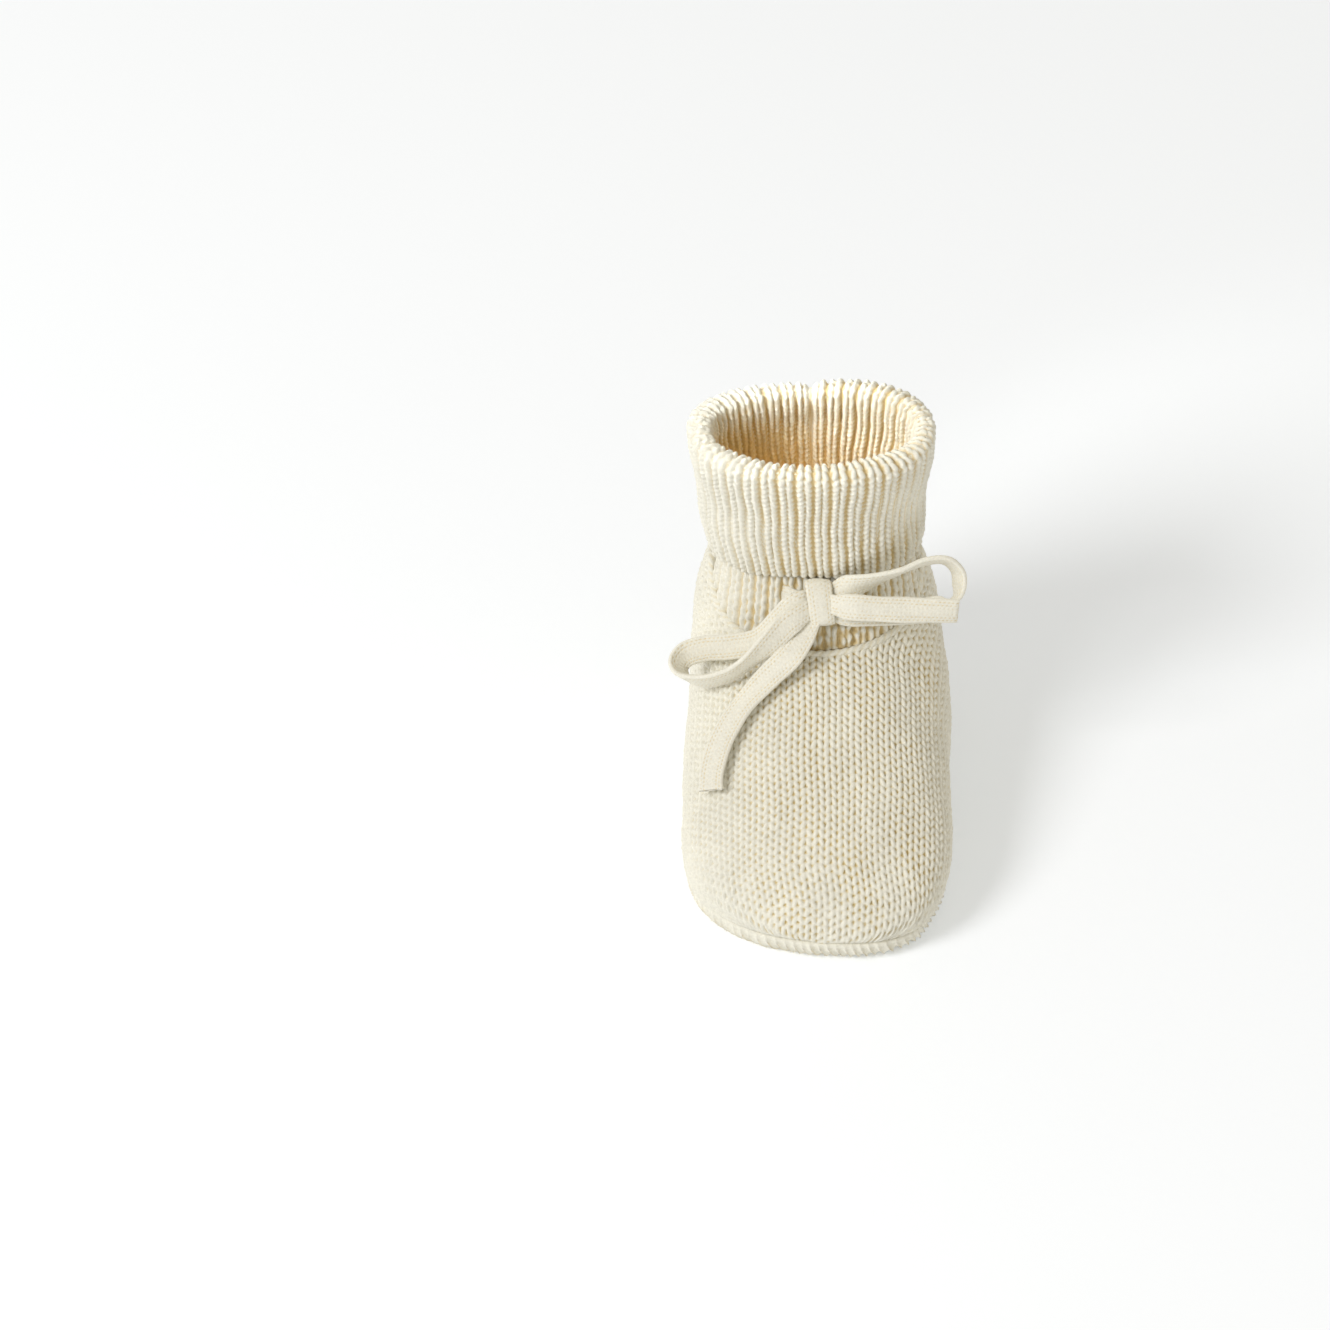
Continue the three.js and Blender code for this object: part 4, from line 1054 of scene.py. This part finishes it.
def make_band():
    """The tape from one side of the knot through the eyelets and round inside the ankle."""
    turn = np.mod(math.pi - np.linspace(0.06, 2 * math.pi - 0.06, 110), 2 * math.pi)
    seam, top = ankle_seam_line(turn), level_point(*RIB_LEVELS[0], turn)
    near = np.stack([mix(seam, top, TIE_SHARE + step) for step in (-0.05, 0, 0.05)], axis=1)
    out = grid_normals(near)[:, 1]
    out = out * np.sign((out * outwards_at(turn)).sum(axis=1, keepdims=True))
    entered = (np.abs(math.pi - turn) - BAND_ENTERS) / (BAND_ENTERED - BAND_ENTERS)
    offset = mix(BAND_OUTSIDE, -BAND_INSIDE, np.clip(entered, 0, 1))
    return tape("tie_band_tape", near[:, 1] + out * offset[:, None], unit(top - seam), 15,
                spacing=0.45)[0]


band = make_band()

# ---- Which body each piece rides, and what it stands for ----

for piece, body, slot, nodes in (
    (upper, "bootie", "stockinette_knit", ["foot_upper"]),
    (tube, "bootie", "rib_knit", ["ankle_rib", "turned_cuff", "cuff_seam"]),
    (sole, "bootie", "stockinette_knit", ["sole_panel"]),
    (sole_seam, "bootie", "seam_yarn", ["sole_seam"]),
    (ankle_seam, "bootie", "seam_yarn", ["ankle_seam"]),
    (heel_seam, "bootie", "seam_yarn", ["heel_seam"]),
    (knot, "bootie", "tie_tape", ["tie_knot"]),
    (band, "bootie", "tie_tape", ["tie_band"]),
    (bow_loop_right, "loop_right", "tie_tape", ["bow_loop_right"]),
    (bow_loop_left, "loop_left", "tie_tape", ["bow_loop_left"]),
    (tie_tail_right, "tail_right", "tie_tape", ["tie_tail_right"]),
    (tie_tail_left, "tail_left", "tie_tape", ["tie_tail_left"]),
):
    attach(piece, body)
    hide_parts(*nodes)

# ---- Floor and light, with places and sizes in metres ----

floor_mesh = bpy.data.meshes.new("floor")
floor_mesh.from_pydata([(-3, -3, 0), (3, -3, 0), (3, 3, 0), (-3, 3, 0)], [], [(0, 1, 2, 3)])
floor = bpy.data.objects.new("floor", floor_mesh)
bpy.context.collection.objects.link(floor)
floor_material = bpy.data.materials.new("pale_floor")
floor_material.use_nodes = True
floor_shader = floor_material.node_tree.nodes["Principled BSDF"]
floor_shader.inputs["Base Color"].default_value = (0.97, 0.97, 0.97, 1)
floor_shader.inputs["Roughness"].default_value = 0.9
floor_shader.inputs["Emission Color"].default_value = (0.65, 0.8, 1, 1)
floor_shader.inputs["Emission Strength"].default_value = 0.2
floor_mesh.materials.append(floor_material)

world = bpy.data.worlds.new("studio")
bpy.context.scene.world = world
world.use_nodes = True
background = world.node_tree.nodes["Background"]
background.inputs["Color"].default_value = (1, 0.955, 0.86, 1)
background.inputs["Strength"].default_value = 0.58


def area_light(name, place, size, power, colour, aim=(0, 0, 0.04)):
    data = bpy.data.lights.new(name, "AREA")
    data.shape = "DISK"
    data.size = size
    data.energy = power
    data.color = colour
    light = bpy.data.objects.new(name, data)
    bpy.context.collection.objects.link(light)
    light.location = place
    light.rotation_euler = (Vector(place) - Vector(aim)).to_track_quat("Z", "Y").to_euler()
    light.visible_camera = False


area_light("key", (-0.95, -0.6, 0.95), 0.6, 10.0, (0.98, 0.995, 1.03))
area_light("fill", (0.9, -0.8, 0.8), 1.0, 0.45, (1, 0.86, 0.58))

# This and the next one stand in for the light that comes through the wool into the cuff.
area_light("warm bounce in the foot", (-0.002, 0.024, 0.040), 0.012, 0.0047, (1, 0.64, 0.26),
           (-0.004, 0.028, 0.080))

# A narrow light through the opening, onto the right and the back of the cuff's inside.
spot_data = bpy.data.lights.new("light into the cuff", "SPOT")
spot_data.energy = 0.24
spot_data.color = (0.97, 1, 1)
spot_data.spot_size = math.radians(38)
spot_data.spot_blend = 0.7
spot_data.shadow_soft_size = 0.018
spot = bpy.data.objects.new("light into the cuff", spot_data)
bpy.context.collection.objects.link(spot)
spot.location = (-0.032, 0.006, 0.125)
spot.rotation_euler = Vector((-0.040, -0.030, 0.043)).to_track_quat("Z", "Y").to_euler()
spot.visible_camera = False

bpy.context.scene.view_settings.view_transform = "Standard"
